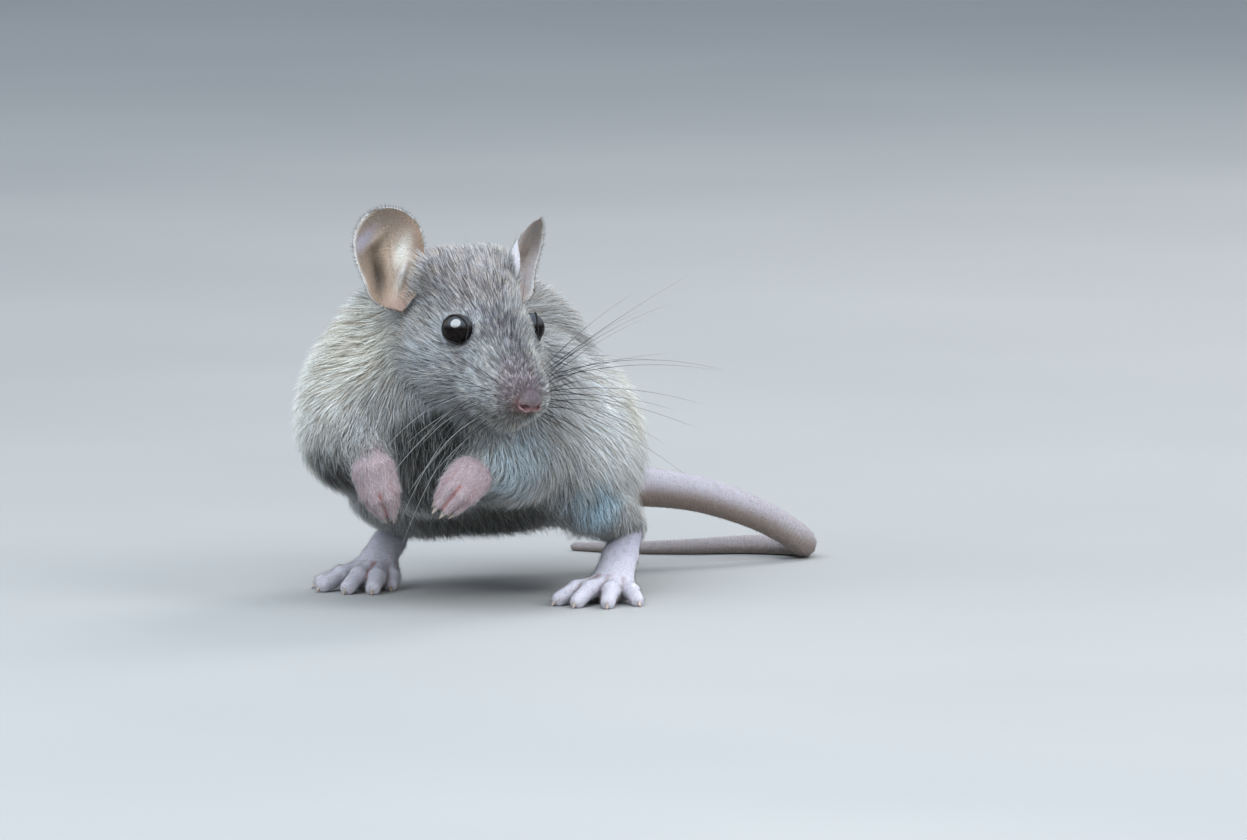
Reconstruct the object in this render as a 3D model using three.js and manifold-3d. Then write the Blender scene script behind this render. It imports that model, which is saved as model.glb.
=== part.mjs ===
// A young brown rat, life size, risen on its hind feet with its forepaws held under its chest.
// Millimetres. +Z is up, the chest faces -Y, and +X is the animal's left. The soles and the end of the
// tail rest at Z = 0. Every surface lies at the tips of the coat.
//
// The furred body is one blended form: a smooth union of rounded masses. Each part is wrapped round that
// form from its own middle and parted from its neighbours by thin cuts. Bare parts, such as the feet and
// the tail, are tapered lengths along curves.
import * as THREE from "three";
import { mergeVertices } from "three/addons/utils/BufferGeometryUtils.js";
import Module from "manifold-3d";

const wasm = await Module();
wasm.setup();

const GAP = 0.32; // width of the cut between two parts
const CLAW_LENGTH = 1.5;

// The head's own frame: its origin lies midway between the eyes, +X runs to the nose, +Y to the left.
const HEAD = { place: [4.1, -10, 45.5], yaw: 35, pitch: 30 };
const EYE = { place: [0.3, 6.6, 0.3], radius: 2.9 };
const NOSE = { place: [13.8, 0, -5.0], size: [1.7, 2.1, 1.6] };

const EAR_LENGTH = 16.3;
const EAR_WIDTH = 13.6;
const EAR_THICKNESS = 0.9;

const TAIL_ROOT_RADIUS = 3.1;
const TAIL_TIP_RADIUS = 0.75;
const TAIL_LENGTHS = 5;
const TAIL_STEPS = 6;

const v3 = (p) => new THREE.Vector3(...p);
const degrees = THREE.MathUtils.degToRad;
const mix = THREE.MathUtils.lerp;

// ---------------------------------------------------------------- solids and their joining

// A three.js geometry reduced to its positions, with shared vertices merged.
function welded(geometry) {
  geometry.deleteAttribute("normal");
  geometry.deleteAttribute("uv");
  return mergeVertices(geometry, 1e-5);
}

function solid(geometry) {
  const triVerts = new Uint32Array(geometry.index.array);
  const vertProperties = new Float32Array(geometry.attributes.position.array);
  return new wasm.Manifold(new wasm.Mesh({ numProp: 3, vertProperties, triVerts }));
}

function geometryOf(made) {
  const mesh = made.getMesh();
  const geometry = new THREE.BufferGeometry();
  geometry.setAttribute("position", new THREE.BufferAttribute(mesh.vertProperties, 3));
  geometry.setIndex(new THREE.BufferAttribute(mesh.triVerts, 1));
  return geometry;
}

// A block that fills one side of a plane: all that lies beyond `point` in the direction `normal`.
function beyond(point, normal, reach = 90) {
  const block = new THREE.BoxGeometry(2 * reach, 2 * reach, reach);
  block.translate(0, 0, reach / 2);
  block.applyQuaternion(new THREE.Quaternion().setFromUnitVectors(v3([0, 0, 1]), normal.clone().normalize()));
  block.translate(point.x, point.y, point.z);
  return solid(welded(block));
}

function ellipsoid(place, radii, matrix, grow = 0, columns = 14) {
  const ball = new THREE.SphereGeometry(1, columns, Math.round(columns * 0.7));
  ball.scale(...radii.map((r) => r + grow));
  ball.translate(...place);
  if (matrix) ball.applyMatrix4(matrix);
  return solid(welded(ball));
}

const floor = beyond(v3([0, 0, 0]), v3([0, 0, -1]));

// ---------------------------------------------------------------- the blended body form

const turn = (yaw, pitch) => new THREE.Matrix4().makeRotationFromEuler(new THREE.Euler(0, degrees(pitch), degrees(yaw), "ZYX"));

// Facing -Y with no turn, so that a positive yaw looks to the animal's left.
const headMatrix = turn(HEAD.yaw - 90, HEAD.pitch).setPosition(...HEAD.place);

// A rounded mass with three radii, turned about Z by `yaw` degrees.
function ball(place, radii, yaw = 0) {
  const inverse = new THREE.Matrix4().makeRotationZ(degrees(yaw)).setPosition(...place).invert();
  const [a, b, c] = radii;
  const q = new THREE.Vector3();
  return (p) => {
    q.copy(p).applyMatrix4(inverse);
    const near = Math.hypot(q.x / a, q.y / b, q.z / c);
    const slope = Math.hypot(q.x / (a * a), q.y / (b * b), q.z / (c * c));
    return slope < 1e-9 ? -Math.min(a, b, c) : (near * (near - 1)) / slope;
  };
}

// A mass that tapers from a ball of radius ra at a to one of radius rb at b.
function taper(a, b, ra, rb) {
  const from = v3(a);
  const along = v3(b).sub(from);
  const length2 = along.lengthSq();
  const q = new THREE.Vector3();
  return (p) => {
    q.copy(p).sub(from);
    const t = THREE.MathUtils.clamp(q.dot(along) / length2, 0, 1);
    return q.addScaledVector(along, -t).length() - mix(ra, rb, t);
  };
}

function blended(parts, width) {
  return (p) => {
    let d = Infinity;
    for (const part of parts) {
      const e = part(p);
      const h = Math.max(width - Math.abs(d - e), 0) / width;
      d = Math.min(d, e) - (h > 0 && h <= 1 ? (h * h * width) / 4 : 0);
    }
    return d;
  };
}

const bothSides = (make) => [make(1), make(-1)];

// Masses of the head, in the head's frame.
const headMasses = [
  ball([-7.4, 0, 0.2], [11.6, 9.0, 9.6]),
  ball([-12.5, 0, -3], [8.6, 9.8, 9.2]),
  taper([2.0, 0, -2.2], [10.0, 0, -4.6], 7.0, 3.9),
  ...bothSides((s) => ball([9.2, s * 3.0, -6.0], [4.3, 3.1, 3.1])),
  ...bothSides((s) => ball([-5.6, s * 5.9, -5.8], [8.8, 6.3, 6.9])),
  taper([-2, 0, -7.6], [7.6, 0, -8.0], 5.2, 2.4),
];
const headForm = blended(headMasses, 3.4);
const toHead = headMatrix.clone().invert();
const inHead = new THREE.Vector3();
const headField = (p) => headForm(inHead.copy(p).applyMatrix4(toHead));

const THIGHS = {
  left: { place: [18.5, 15, 24], radii: [10.2, 15, 15.2], yaw: -12 },
  right: { place: [-8.5, 27, 23], radii: [10.5, 14, 15], yaw: -45 },
};
const SHOULDERS = {
  left: { place: [6, -1, 28], radii: [8, 8.5, 10.5], yaw: -10 },
  right: { place: [-18.4, 3, 31.3], radii: [9.4, 10, 12.6], yaw: -30 },
};

const trunkMasses = [
  ball([-7, 4, 31], [17, 13.5, 16.5], -20), // chest
  ball([-6.3, 12, 34], [19.2, 15.5, 19.5], -25), // ribs and withers
  ball([3.5, 24, 34.5], [17, 18, 18], -30), // back
  ball([3, 24, 25], [18.5, 19, 16.8], -30), // belly
  ball([10.5, 35, 25], [16, 16, 16.5], -30), // loins
  ball([17, 44, 18], [11.5, 11, 11], -30), // rump
  ball([11.5, 7, 30], [9, 10, 13], -20), // left flank, behind the elbow
  taper([-6, 5, 41], [-3, -1, 47], 14.0, 11.5), // neck
  ...Object.values(THIGHS).map((m) => ball(m.place, m.radii, m.yaw)),
  ...Object.values(SHOULDERS).map((m) => ball(m.place, m.radii, m.yaw)),
];
const trunkField = blended(trunkMasses, 5);
const bodyField = blended([trunkField, headField], 2.6);

// Wraps a ball of triangles round the body form, as seen from `middle` and no further than `reach`.
// The ball's pole points along `pole`, where its triangles are finest.
function wrapped(middle, reach, { columns = 14, rows = 11, pole = [0, 0, 1], grow = 0, form = bodyField } = {}) {
  const geometry = welded(new THREE.SphereGeometry(1, columns, rows));
  const turnToPole = new THREE.Quaternion().setFromUnitVectors(v3([0, 1, 0]), v3(pole).normalize());
  const place = geometry.attributes.position;
  const centre = v3(middle);
  const ray = new THREE.Vector3();
  const p = new THREE.Vector3();
  const depth = (t) => form(p.copy(centre).addScaledVector(ray, t)) - grow;
  for (let i = 0; i < place.count; i++) {
    ray.fromBufferAttribute(place, i).applyQuaternion(turnToPole).normalize();
    let inside = 0;
    let outside = 0.3;
    while (outside < reach && depth(outside) < 0) {
      inside = outside;
      outside += 0.3;
    }
    if (outside >= reach) inside = outside = reach;
    for (let n = 0; n < 12 && outside < reach; n++) {
      const t = (inside + outside) / 2;
      if (depth(t) < 0) inside = t;
      else outside = t;
    }
    p.copy(centre).addScaledVector(ray, inside);
    place.setXYZ(i, p.x, p.y, p.z);
  }
  return solid(geometry);
}

// ---------------------------------------------------------------- tapered lengths along curves

// A closed length along a curve through `points`, with a radius at each point. `flat` is the thickness
// over the width, measured square to `up`. Round ends bulge by their radius, and blunt ones are flat.
function strand(points, radii, { sides = 10, rows = 8, caps = 2, up = [0, 0, 1], flat = 1, round = [true, true] } = {}) {
  const curve = new THREE.CatmullRomCurve3(points.map(v3), false, "catmullrom");
  const geometry = welded(new THREE.SphereGeometry(1, sides, rows));
  const place = geometry.attributes.position;
  const last = radii.length - 1;
  const upward = v3(up);
  const unit = new THREE.Vector3();
  for (let i = 0; i < place.count; i++) {
    unit.fromBufferAttribute(place, i);
    const row = Math.round((Math.acos(THREE.MathUtils.clamp(unit.y, -1, 1)) / Math.PI) * rows);
    const around = Math.atan2(unit.z, unit.x);
    const body = THREE.MathUtils.clamp((row - caps) / (rows - 2 * caps), 0, 1);
    const end = row < caps ? 0 : row > rows - caps ? 1 : -1;
    const capStep = end < 0 ? 1 : (end ? rows - row : row) / caps;
    const spot = body * last;
    const k = Math.min(Math.floor(spot), last - 1);
    const radius = mix(radii[k], radii[k + 1], spot - k);
    const tangent = curve.getTangent(body);
    const side = tangent.clone().cross(upward).normalize();
    const top = side.clone().cross(tangent);
    const ring = radius * Math.sin((capStep * Math.PI) / 2);
    const bulge = end < 0 || !round[end] ? 0 : radius * Math.cos((capStep * Math.PI) / 2) * (end ? 1 : -1);
    const spotPoint = curve.getPoint(body);
    spotPoint.addScaledVector(side, -ring * Math.cos(around));
    spotPoint.addScaledVector(top, ring * flat * Math.sin(around));
    spotPoint.addScaledVector(tangent, bulge * flat);
    place.setXYZ(i, spotPoint.x, spotPoint.y, spotPoint.z);
  }
  return solid(geometry);
}

function claw(from, direction, down) {
  const tip = v3(from).addScaledVector(direction, CLAW_LENGTH).addScaledVector(down, CLAW_LENGTH * 0.35);
  const middle = v3(from).addScaledVector(direction, CLAW_LENGTH * 0.55).addScaledVector(down, CLAW_LENGTH * 0.08);
  const points = [v3(from).addScaledVector(direction, -0.4), middle, tip];
  return strand(points.map((p) => p.toArray()), [0.44, 0.36, 0.2], { sides: 4, rows: 4, caps: 1 });
}

// One digit through three points, with its claw.
function digit(points, radii) {
  const [, knuckle, tip] = points.map(v3);
  const along = tip.clone().sub(knuckle).normalize();
  const down = v3([0, 0, -1]).addScaledVector(along, along.z).normalize();
  return strand(points, radii, { sides: 6, rows: 6 }).add(claw(tip.addScaledVector(along, 0.5), along, down));
}

const moved = (made, matrix) => made.transform(matrix.elements);

// A frame at `origin` whose +X runs along `along` and whose +Z leans towards `up`.
function facing(origin, along, up) {
  const x = v3(along).normalize();
  const y = v3(up).cross(x).normalize();
  return new THREE.Matrix4().makeBasis(x, y, x.clone().cross(y)).setPosition(...origin);
}

// ---------------------------------------------------------------- ear

// A leaf of even thickness, rolled into a cup that opens along +Z and narrows to a stalk at its root.
// The root is at the origin and the tip along +X.
function ear() {
  const geometry = welded(new THREE.SphereGeometry(1, 16, 12));
  const place = geometry.attributes.position;
  const unit = new THREE.Vector3();
  for (let i = 0; i < place.count; i++) {
    unit.fromBufferAttribute(place, i);
    const rim = Math.hypot(unit.x, unit.y);
    const spread = rim > 1e-6 ? (0.16 * rim + 0.84 * Math.asin(Math.min(rim, 1)) / (Math.PI / 2)) / rim : 0;
    const across = unit.y * spread;
    const along = (unit.x * spread + 1) / 2;
    const width = EAR_WIDTH * (1 - 0.52 * Math.pow(1 - along, 1.8));
    const roll = mix(3.6, 1.15, Math.sqrt(along));
    const angle = (across * roll) / 2;
    const bend = width / roll;
    const thickness = EAR_THICKNESS * (0.62 + 0.38 * Math.sqrt(Math.max(0, 1 - rim * rim)));
    const edge = Math.sign(unit.z) * Math.sqrt(Math.max(0, 1 - Math.pow(rim, 6))) * thickness / 2;
    const r = bend - edge;
    const cup = 1.6 * Math.sin(Math.PI * Math.min(along, 1));
    place.setXYZ(i, along * EAR_LENGTH, r * Math.sin(angle), bend - r * Math.cos(angle) - cup);
  }
  return solid(geometry);
}

// ---------------------------------------------------------------- feet

// A hind foot has its ball over the origin and points along +X, with its outer side towards +Y.
const mirrored = (side) => ([x, y, z]) => [x, side * y, z];
const METATARSUS_RADII = [3.2, 3.0, 3.5];
const METATARSUS_SHAPE = { flat: 0.7 };
const metatarsus = (side) => [[-11, 0.6, 11], [-6.2, 0.2, 6.8], [-0.6, 0, 2.1]].map(mirrored(side));

function toes(side) {
  const lines = [
    { points: [[-3.2, -2.3, 2.8], [-0.9, -4.2, 1.9], [1.4, -5.4, 0.95]], radii: [1.6, 1.4, 1.1] },
    { points: [[0, -2.2, 2.3], [4.0, -4.2, 2.3], [7.8, -5.8, 1.05]], radii: [1.8, 1.5, 1.2] },
    { points: [[0.6, -0.7, 2.4], [5.2, -1.5, 2.5], [9.5, -2.0, 1.05]], radii: [1.8, 1.5, 1.2] },
    { points: [[0.5, 1.0, 2.4], [4.7, 2.0, 2.4], [8.8, 3.0, 1.05]], radii: [1.8, 1.5, 1.2] },
    { points: [[-1.4, 2.2, 2.3], [1.4, 4.3, 2.0], [4.0, 6.3, 0.95]], radii: [1.7, 1.4, 1.1] },
  ];
  const made = lines.map(({ points, radii }) => digit(points.map(mirrored(side)), radii));
  return made.reduce((all, one) => all.add(one));
}

// A forepaw with its wrist at the origin, its digits along +X and its back towards +Z.
function forepaw(side) {
  let made = strand([[-1.5, 0, -0.2], [2.4, 0, 0.3], [6.2, 0, -0.2]], [2.9, 3.7, 3.2], { flat: 0.66 });
  const digits = [
    { points: [[4.4, -2.6, 0.0], [7.3, -2.8, -0.5], [9.4, -2.4, -2.4]], radii: [1.4, 1.25, 1.0] },
    { points: [[5.0, -0.95, 0.2], [8.3, -1.05, -0.1], [10.6, -0.85, -2.2]], radii: [1.4, 1.3, 1.05] },
    { points: [[4.9, 0.95, 0.2], [8.1, 1.1, -0.1], [10.3, 0.9, -2.3]], radii: [1.4, 1.3, 1.05] },
    { points: [[4.0, 2.7, -0.1], [6.7, 3.1, -0.6], [8.8, 2.8, -2.5]], radii: [1.4, 1.25, 1.0] },
  ];
  for (const { points, radii } of digits) made = made.add(digit(points.map(mirrored(side)), radii));
  return made;
}

// ---------------------------------------------------------------- putting the animal together

const nodes = {};
const SIDES = [["left", 1], ["right", -1]];

const headPlace = (p) => v3(p).applyMatrix4(headMatrix);
const headWay = (p) => v3(p).transformDirection(headMatrix);
const shifted = (plane, by) => plane.point.clone().addScaledVector(plane.normal.clone().normalize(), by);
const ahead = (plane, grow = 0) => beyond(shifted(plane, -grow), plane.normal);
const behind = (plane, grow = 0) => beyond(shifted(plane, grow), plane.normal.clone().negate());

// The head ends at the nape, and the neck where it widens into the shoulders.
const nape = { point: headPlace([-9, 0, -3]), normal: headWay([0.78, 0, 0.62]) };
const collar = { point: v3([-5.5, 1.5, 43]), normal: v3([0.25, -0.6, 0.62]) };

const headShape = { columns: 20, rows: 17, pole: headWay([1, 0, -0.3]).toArray() };
const headMiddle = headPlace([-2.5, 0, -2.5]).toArray();
const HEAD_REACH = 24;
const headRegion = (grow) =>
  wrapped(headMiddle, HEAD_REACH + 2, { columns: 14, rows: 10, grow: 0.9 + grow, form: headField }).intersect(ahead(nape, grow));
const headWhole = wrapped(headMiddle, HEAD_REACH, headShape).intersect(headRegion(0));
const headGrown = wrapped(headMiddle, HEAD_REACH, { ...headShape, grow: GAP });
const aroundHead = headRegion(GAP);

const eyeAt = (side) => headPlace([EYE.place[0], side * EYE.place[1], EYE.place[2]]).toArray();
const eyeball = (side, grow) => ellipsoid(eyeAt(side), Array(3).fill(EYE.radius), undefined, grow, 12);
const head = headWhole
  .subtract(ellipsoid(NOSE.place, NOSE.size, headMatrix, GAP, 10))
  .subtract(eyeball(1, GAP))
  .subtract(eyeball(-1, GAP));

// The lower jaw is parted from the head along the mouth.
const mouth = { point: headPlace([8, 0, -8.0]), normal: headWay([0.14, 0, -1]) };
const hinge = { point: headPlace([1.5, 0, -8]), normal: headWay([1, 0, -0.25]) };
nodes.head = head.subtract(ahead(mouth, GAP).intersect(ahead(hinge, GAP)));
nodes.lower_jaw = head.intersect(ahead(mouth)).intersect(ahead(hinge));
nodes.nose = ellipsoid(NOSE.place, NOSE.size, headMatrix, 0, 10);
for (const [name, side] of SIDES) nodes["eye_" + name] = eyeball(side, 0);

// Each ear is placed by its root, the way its tip points and the way its cup opens.
const EARS = {
  left: { root: [6.6, 4.4, 49.6], tip: [0.33, 0.5, 0.8], opening: [0.93, -0.36, -0.1] },
  right: { root: [-10.2, -7.6, 49.2], tip: [-0.27, 0.1, 0.96], opening: [0, -1, 0.1] },
};
for (const [name, { root, tip, opening }] of Object.entries(EARS)) {
  nodes["ear_" + name] = moved(ear(), facing(root, tip, opening)).subtract(headGrown);
}

// A thigh or an upper arm is the share of the body form that lies in a drum standing out to the side.
const DRUM_BURIED = 2;
const DRUM_PROUD = 3;
const DRUM_SHARE = 0.86;
const drum = ({ place, radii: [depth, length, height], yaw }, side, grow) => {
  const long = depth + DRUM_BURIED + DRUM_PROUD + grow;
  const round = new THREE.CylinderGeometry(1, 1, long, 12);
  round.rotateZ(Math.PI / 2);
  round.translate(side * (long / 2 - DRUM_BURIED - grow), 0, 0);
  round.scale(1, length * DRUM_SHARE + grow, height * DRUM_SHARE + grow);
  round.rotateZ(degrees(yaw));
  round.translate(...place);
  return solid(welded(round));
};
const LIMB_MASSES = { thigh: THIGHS, upper_arm: SHOULDERS };
const torsoShape = { columns: 22, rows: 16, pole: [0.5, 0.87, -0.1] };
let torso = wrapped([1, 19, 30], 60, torsoShape).subtract(aroundHead);
for (const [limb, masses] of Object.entries(LIMB_MASSES)) {
  for (const [name, side] of SIDES) {
    const mass = masses[name];
    nodes[limb + "_" + name] = wrapped(mass.place, 24).intersect(drum(mass, side, 0)).subtract(aroundHead);
    torso = torso.subtract(drum(mass, side, GAP));
  }
}
nodes.upper_arm_left = nodes.upper_arm_left.subtract(drum(THIGHS.left, 1, GAP));
nodes.neck = torso.intersect(ahead(collar));
nodes.trunk = torso.intersect(behind(collar, -GAP));

// What grows out of the coat fills a hollow of its own shape in each part of the body that it meets.
const BODY_NODES = ["neck", "trunk", "thigh_left", "thigh_right", "upper_arm_left", "upper_arm_right"];
function rooted(points, radii, shape) {
  const hollow = strand(points, radii.map((r) => r + GAP), shape);
  for (const name of BODY_NODES) nodes[name] = nodes[name].subtract(hollow);
  return strand(points, radii, shape);
}

// The plane that halves the bend at `b` on the way from a through b to c.
function bend(a, b, c) {
  const incoming = v3(b).sub(v3(a)).normalize();
  const outgoing = v3(c).sub(v3(b)).normalize();
  return { point: v3(b), normal: incoming.add(outgoing) };
}

// Forelegs: each forearm runs from the coat to the wrist, where its paw hangs.
const FORELEGS = {
  left: {
    forearm: [[6.8, -3.5, 24.8], [4.2, -7.3, 24.1], [1.2, -10.8, 23.0]],
    digits: [-4.3, -5.2, -4.0],
    back: [0.25, -0.85, 0.45],
  },
  right: {
    forearm: [[-20.6, -2.4, 27], [-18.5, -6.4, 26.4], [-16.0, -10.2, 25.2]],
    digits: [2.6, -3.5, -8.6],
    back: [-0.15, -0.95, 0.3],
  },
};
const FOREARM_RADII = [5.4, 4.5, 3.3];
const PAW_SCALE = 0.92;
for (const [name, side] of SIDES) {
  const { forearm, digits, back } = FORELEGS[name];
  const [, middle, wrist] = forearm;
  const knuckles = v3(wrist).add(v3(digits)).toArray();
  const wristPlane = bend(middle, wrist, knuckles);
  const paw = moved(forepaw(side).scale(PAW_SCALE), facing(wrist, digits, back));
  nodes["forearm_" + name] = rooted(forearm, FOREARM_RADII).intersect(behind(wristPlane, -GAP));
  nodes["forepaw_" + name] = paw.intersect(ahead(wristPlane));
}

// Hind legs: the foot stands on its ball and toes, with the heel raised into the coat.
const HIND_LEGS = {
  left: { ball: [22.5, 4, 0], heading: -110, shin: [20.5, 9, 16] },
  right: { ball: [-17, 24, 0], heading: -120, shin: [-15, 22, 16] },
};
const SHANK_RADII = [5, 4.6, 3.4];
for (const [name, side] of SIDES) {
  const { ball: at, heading, shin } = HIND_LEGS[name];
  const matrix = new THREE.Matrix4().makeRotationZ(degrees(heading)).setPosition(...at);
  const [heel, instep, sole] = metatarsus(side).map((p) => v3(p).applyMatrix4(matrix).toArray());
  const middle = v3(shin).lerp(v3(heel), 0.5).toArray();
  const anklePlane = bend(middle, heel, instep);
  nodes["shank_" + name] = rooted([shin, middle, heel], SHANK_RADII).intersect(behind(anklePlane, -GAP));
  nodes["hind_foot_" + name] = rooted([heel, instep, sole], METATARSUS_RADII, METATARSUS_SHAPE)
    .add(moved(toes(side), matrix))
    .intersect(ahead(anklePlane))
    .subtract(floor);
}

// Tail: one curve from the rump, over to the left, round on the ground and back behind the animal.
const TAIL = [
  [20, 49.5, 14.2],
  [27, 55, 14.5],
  [37, 59, 12.5],
  [47, 62, 8.2],
  [54, 65.5, 3.2],
  [53, 71, 1.5],
  [45, 73.5, 1.2],
  [35, 72.5, 1.0],
  [25, 73.5, 0.8],
  [16, 78, 0.6],
];
const tailCurve = new THREE.CatmullRomCurve3(TAIL.map(v3), false, "catmullrom");
const tailRadius = (t) => mix(TAIL_ROOT_RADIUS, TAIL_TIP_RADIUS, Math.pow(t, 0.85));
for (let n = 0; n < TAIL_LENGTHS; n++) {
  const cut = GAP / tailCurve.getLength() / 2;
  const from = n / TAIL_LENGTHS + (n ? cut : 0);
  const to = (n + 1) / TAIL_LENGTHS - (n < TAIL_LENGTHS - 1 ? cut : 0);
  const stops = Array.from({ length: TAIL_STEPS + 1 }, (_, i) => mix(from, to, i / TAIL_STEPS));
  const points = stops.map((t) => tailCurve.getPointAt(t).toArray());
  const shape = { sides: 8, rows: 9, round: [false, n === TAIL_LENGTHS - 1] };
  const make = n ? strand : rooted;
  nodes["tail_" + (n + 1)] = make(points, stops.map(tailRadius), shape).subtract(floor);
}

// ---------------------------------------------------------------- materials and the scene

const finish = (color, roughness) => new THREE.MeshStandardMaterial({ color, roughness, metalness: 0 });
const COAT = finish(0x8d8a86, 0.85);
const PALE_COAT = finish(0xa5a6a4, 0.85);
const EAR_SKIN = finish(0xb49c8c, 0.7);
const FOOT_SKIN = finish(0xd9bcb8, 0.6);
const TAIL_SKIN = finish(0xa08c8a, 0.65);
const EYE_BLACK = finish(0x0b0a0c, 0.05);
const NOSE_SKIN = finish(0xb0787a, 0.35);

const finishes = [
  [/^eye/, EYE_BLACK],
  [/^nose/, NOSE_SKIN],
  [/^ear/, EAR_SKIN],
  [/paw|foot/, FOOT_SKIN],
  [/^tail/, TAIL_SKIN],
  [/jaw|arm|shank/, PALE_COAT],
  [/./, COAT],
];

const animal = new THREE.Group();
for (const [name, made] of Object.entries(nodes)) {
  const whole = made.decompose().sort((a, b) => b.volume() - a.volume())[0];
  const mesh = new THREE.Mesh(geometryOf(whole), finishes.find(([test]) => test.test(name))[1]);
  mesh.name = name;
  animal.add(mesh);
}

// The origin is the middle of the footprint, at floor level.
const extent = new THREE.Box3().setFromObject(animal);
const middle = extent.getCenter(new THREE.Vector3());
animal.position.set(-middle.x, -middle.y, -extent.min.z);

export default animal;
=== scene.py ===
"""A young brown rat, life size, risen on its hind feet with its forepaws held under its chest.

One skin carries the coat, which is laid over it in tufts of solid hair. Sizes are in millimetres while
the animal is shaped, and each finished mesh is set down in the frame in metres.
"""

import math

import bmesh
import bpy
import numpy as np
from mathutils import Matrix, Vector, kdtree


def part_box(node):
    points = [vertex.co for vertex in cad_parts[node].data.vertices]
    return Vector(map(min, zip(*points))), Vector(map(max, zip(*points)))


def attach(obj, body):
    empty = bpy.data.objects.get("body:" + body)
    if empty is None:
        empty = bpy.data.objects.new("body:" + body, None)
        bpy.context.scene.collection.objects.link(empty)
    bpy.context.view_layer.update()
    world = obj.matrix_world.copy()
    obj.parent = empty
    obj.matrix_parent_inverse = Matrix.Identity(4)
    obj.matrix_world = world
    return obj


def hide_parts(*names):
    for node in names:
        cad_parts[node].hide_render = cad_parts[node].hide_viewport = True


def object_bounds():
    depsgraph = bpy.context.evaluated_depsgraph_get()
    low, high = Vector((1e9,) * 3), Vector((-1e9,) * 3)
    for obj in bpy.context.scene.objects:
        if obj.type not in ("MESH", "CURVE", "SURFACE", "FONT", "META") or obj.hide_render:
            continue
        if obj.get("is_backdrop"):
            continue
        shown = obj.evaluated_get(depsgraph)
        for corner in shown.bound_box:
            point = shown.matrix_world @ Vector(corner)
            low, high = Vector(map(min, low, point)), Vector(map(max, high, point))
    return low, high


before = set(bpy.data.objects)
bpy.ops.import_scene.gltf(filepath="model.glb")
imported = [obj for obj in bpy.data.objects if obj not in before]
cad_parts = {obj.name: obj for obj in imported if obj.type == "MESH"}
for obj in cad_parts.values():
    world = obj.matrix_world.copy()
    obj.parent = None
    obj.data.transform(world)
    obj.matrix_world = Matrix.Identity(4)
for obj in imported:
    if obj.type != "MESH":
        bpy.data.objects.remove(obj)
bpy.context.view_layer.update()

# ------------------------------------------------------------------ flesh under the coat
# The head, neck, trunk and upper legs are one soft form under the hair. Each mass is given out to the
# tips of its coat, with the coat's depth beside it, and neighbouring masses run into each other.

MM = 0.001
draw = np.random.default_rng(21)


def heading(yaw, pitch):
    """Forward, left and up, as rows, of a part that faces -Y, turns left by yaw and dips by pitch."""
    yaw, pitch = math.radians(yaw), math.radians(pitch)
    flat = math.cos(pitch)
    forward = np.array([math.sin(yaw) * flat, -math.cos(yaw) * flat, -math.sin(pitch)])
    left = np.array([math.cos(yaw), math.sin(yaw), 0.0])
    return np.array([forward, left, np.cross(forward, left)])


def length_of(vectors):
    return np.sqrt((vectors * vectors).sum(-1))


def unit(vectors):
    return vectors / np.maximum(length_of(vectors), 1e-9)[..., None]


def step(value, low, high):
    """A smooth step from 0 at low to 1 at high."""
    t = np.clip((value - low) / (high - low), 0, 1)
    return t * t * (3 - 2 * t)


def ball(p, place, radii, yaw=0.0):
    """About the distance to a ball with three radii."""
    c, s = math.cos(math.radians(yaw)), math.sin(math.radians(yaw))
    q = p - np.array(place, float)
    q = np.stack([c * q[:, 0] + s * q[:, 1], -s * q[:, 0] + c * q[:, 1], q[:, 2]], 1)
    q = q / np.array(radii, float)
    near = length_of(q)
    return near * (near - 1) / np.maximum(length_of(q / np.array(radii, float)), 1e-6)


def taper(p, a, b, ra, rb):
    """About the distance to a round length from a to b, whose radius goes from ra to rb."""
    a, along = np.array(a, float), np.array(b, float) - np.array(a, float)
    q = p - a
    t = np.clip(q @ along / (along @ along), 0, 1)
    return length_of(q - t[:, None] * along) - (ra + (rb - ra) * t)


def strap(p, a, b, ra, rb, flat, up):
    """A taper with an oval section, whose thickness across `up` is `flat` times its width."""
    a, along = np.array(a, float), np.array(b, float) - np.array(a, float)
    side = unit(np.cross(along, np.array(up, float)))
    q = p - a
    t = np.clip(q @ along / (along @ along), 0, 1)
    q = q - t[:, None] * along
    out = q @ side
    rest = length_of(q - out[:, None] * side)
    wide = np.sqrt(out**2 + (rest / flat) ** 2)
    return (wide - (ra + (rb - ra) * t)) * (flat + (1 - flat) * np.abs(out) / np.maximum(wide, 1e-6))


def melt(one, two, width):
    """The lower of two distances, with a soft join as wide as `width`."""
    h = np.clip(width - np.abs(one - two), 0, None) / width
    return np.minimum(one, two) - h * h * width / 4


def melted(distances, width):
    """The lowest of several distances, each softly joined to the ones before it."""
    total = distances[0]
    for d in distances[1:]:
        total = melt(total, d, width)
    return total


HEAD_PLACE = np.array([4.1, -10.0, 45.5])
HEAD = heading(yaw=35, pitch=30)
NOSE_PLACE, NOSE_RADII = np.array([13.6, 0, -4.5]), np.array([1.65, 1.8, 1.75])
SIDES = (("left", 1), ("right", -1))
EYE_PLACES, EYE_RADIUS = {1: np.array([-0.3, 7.05, -0.2]), -1: np.array([-0.3, 7.05, 0.5])}, 2.5

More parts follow.
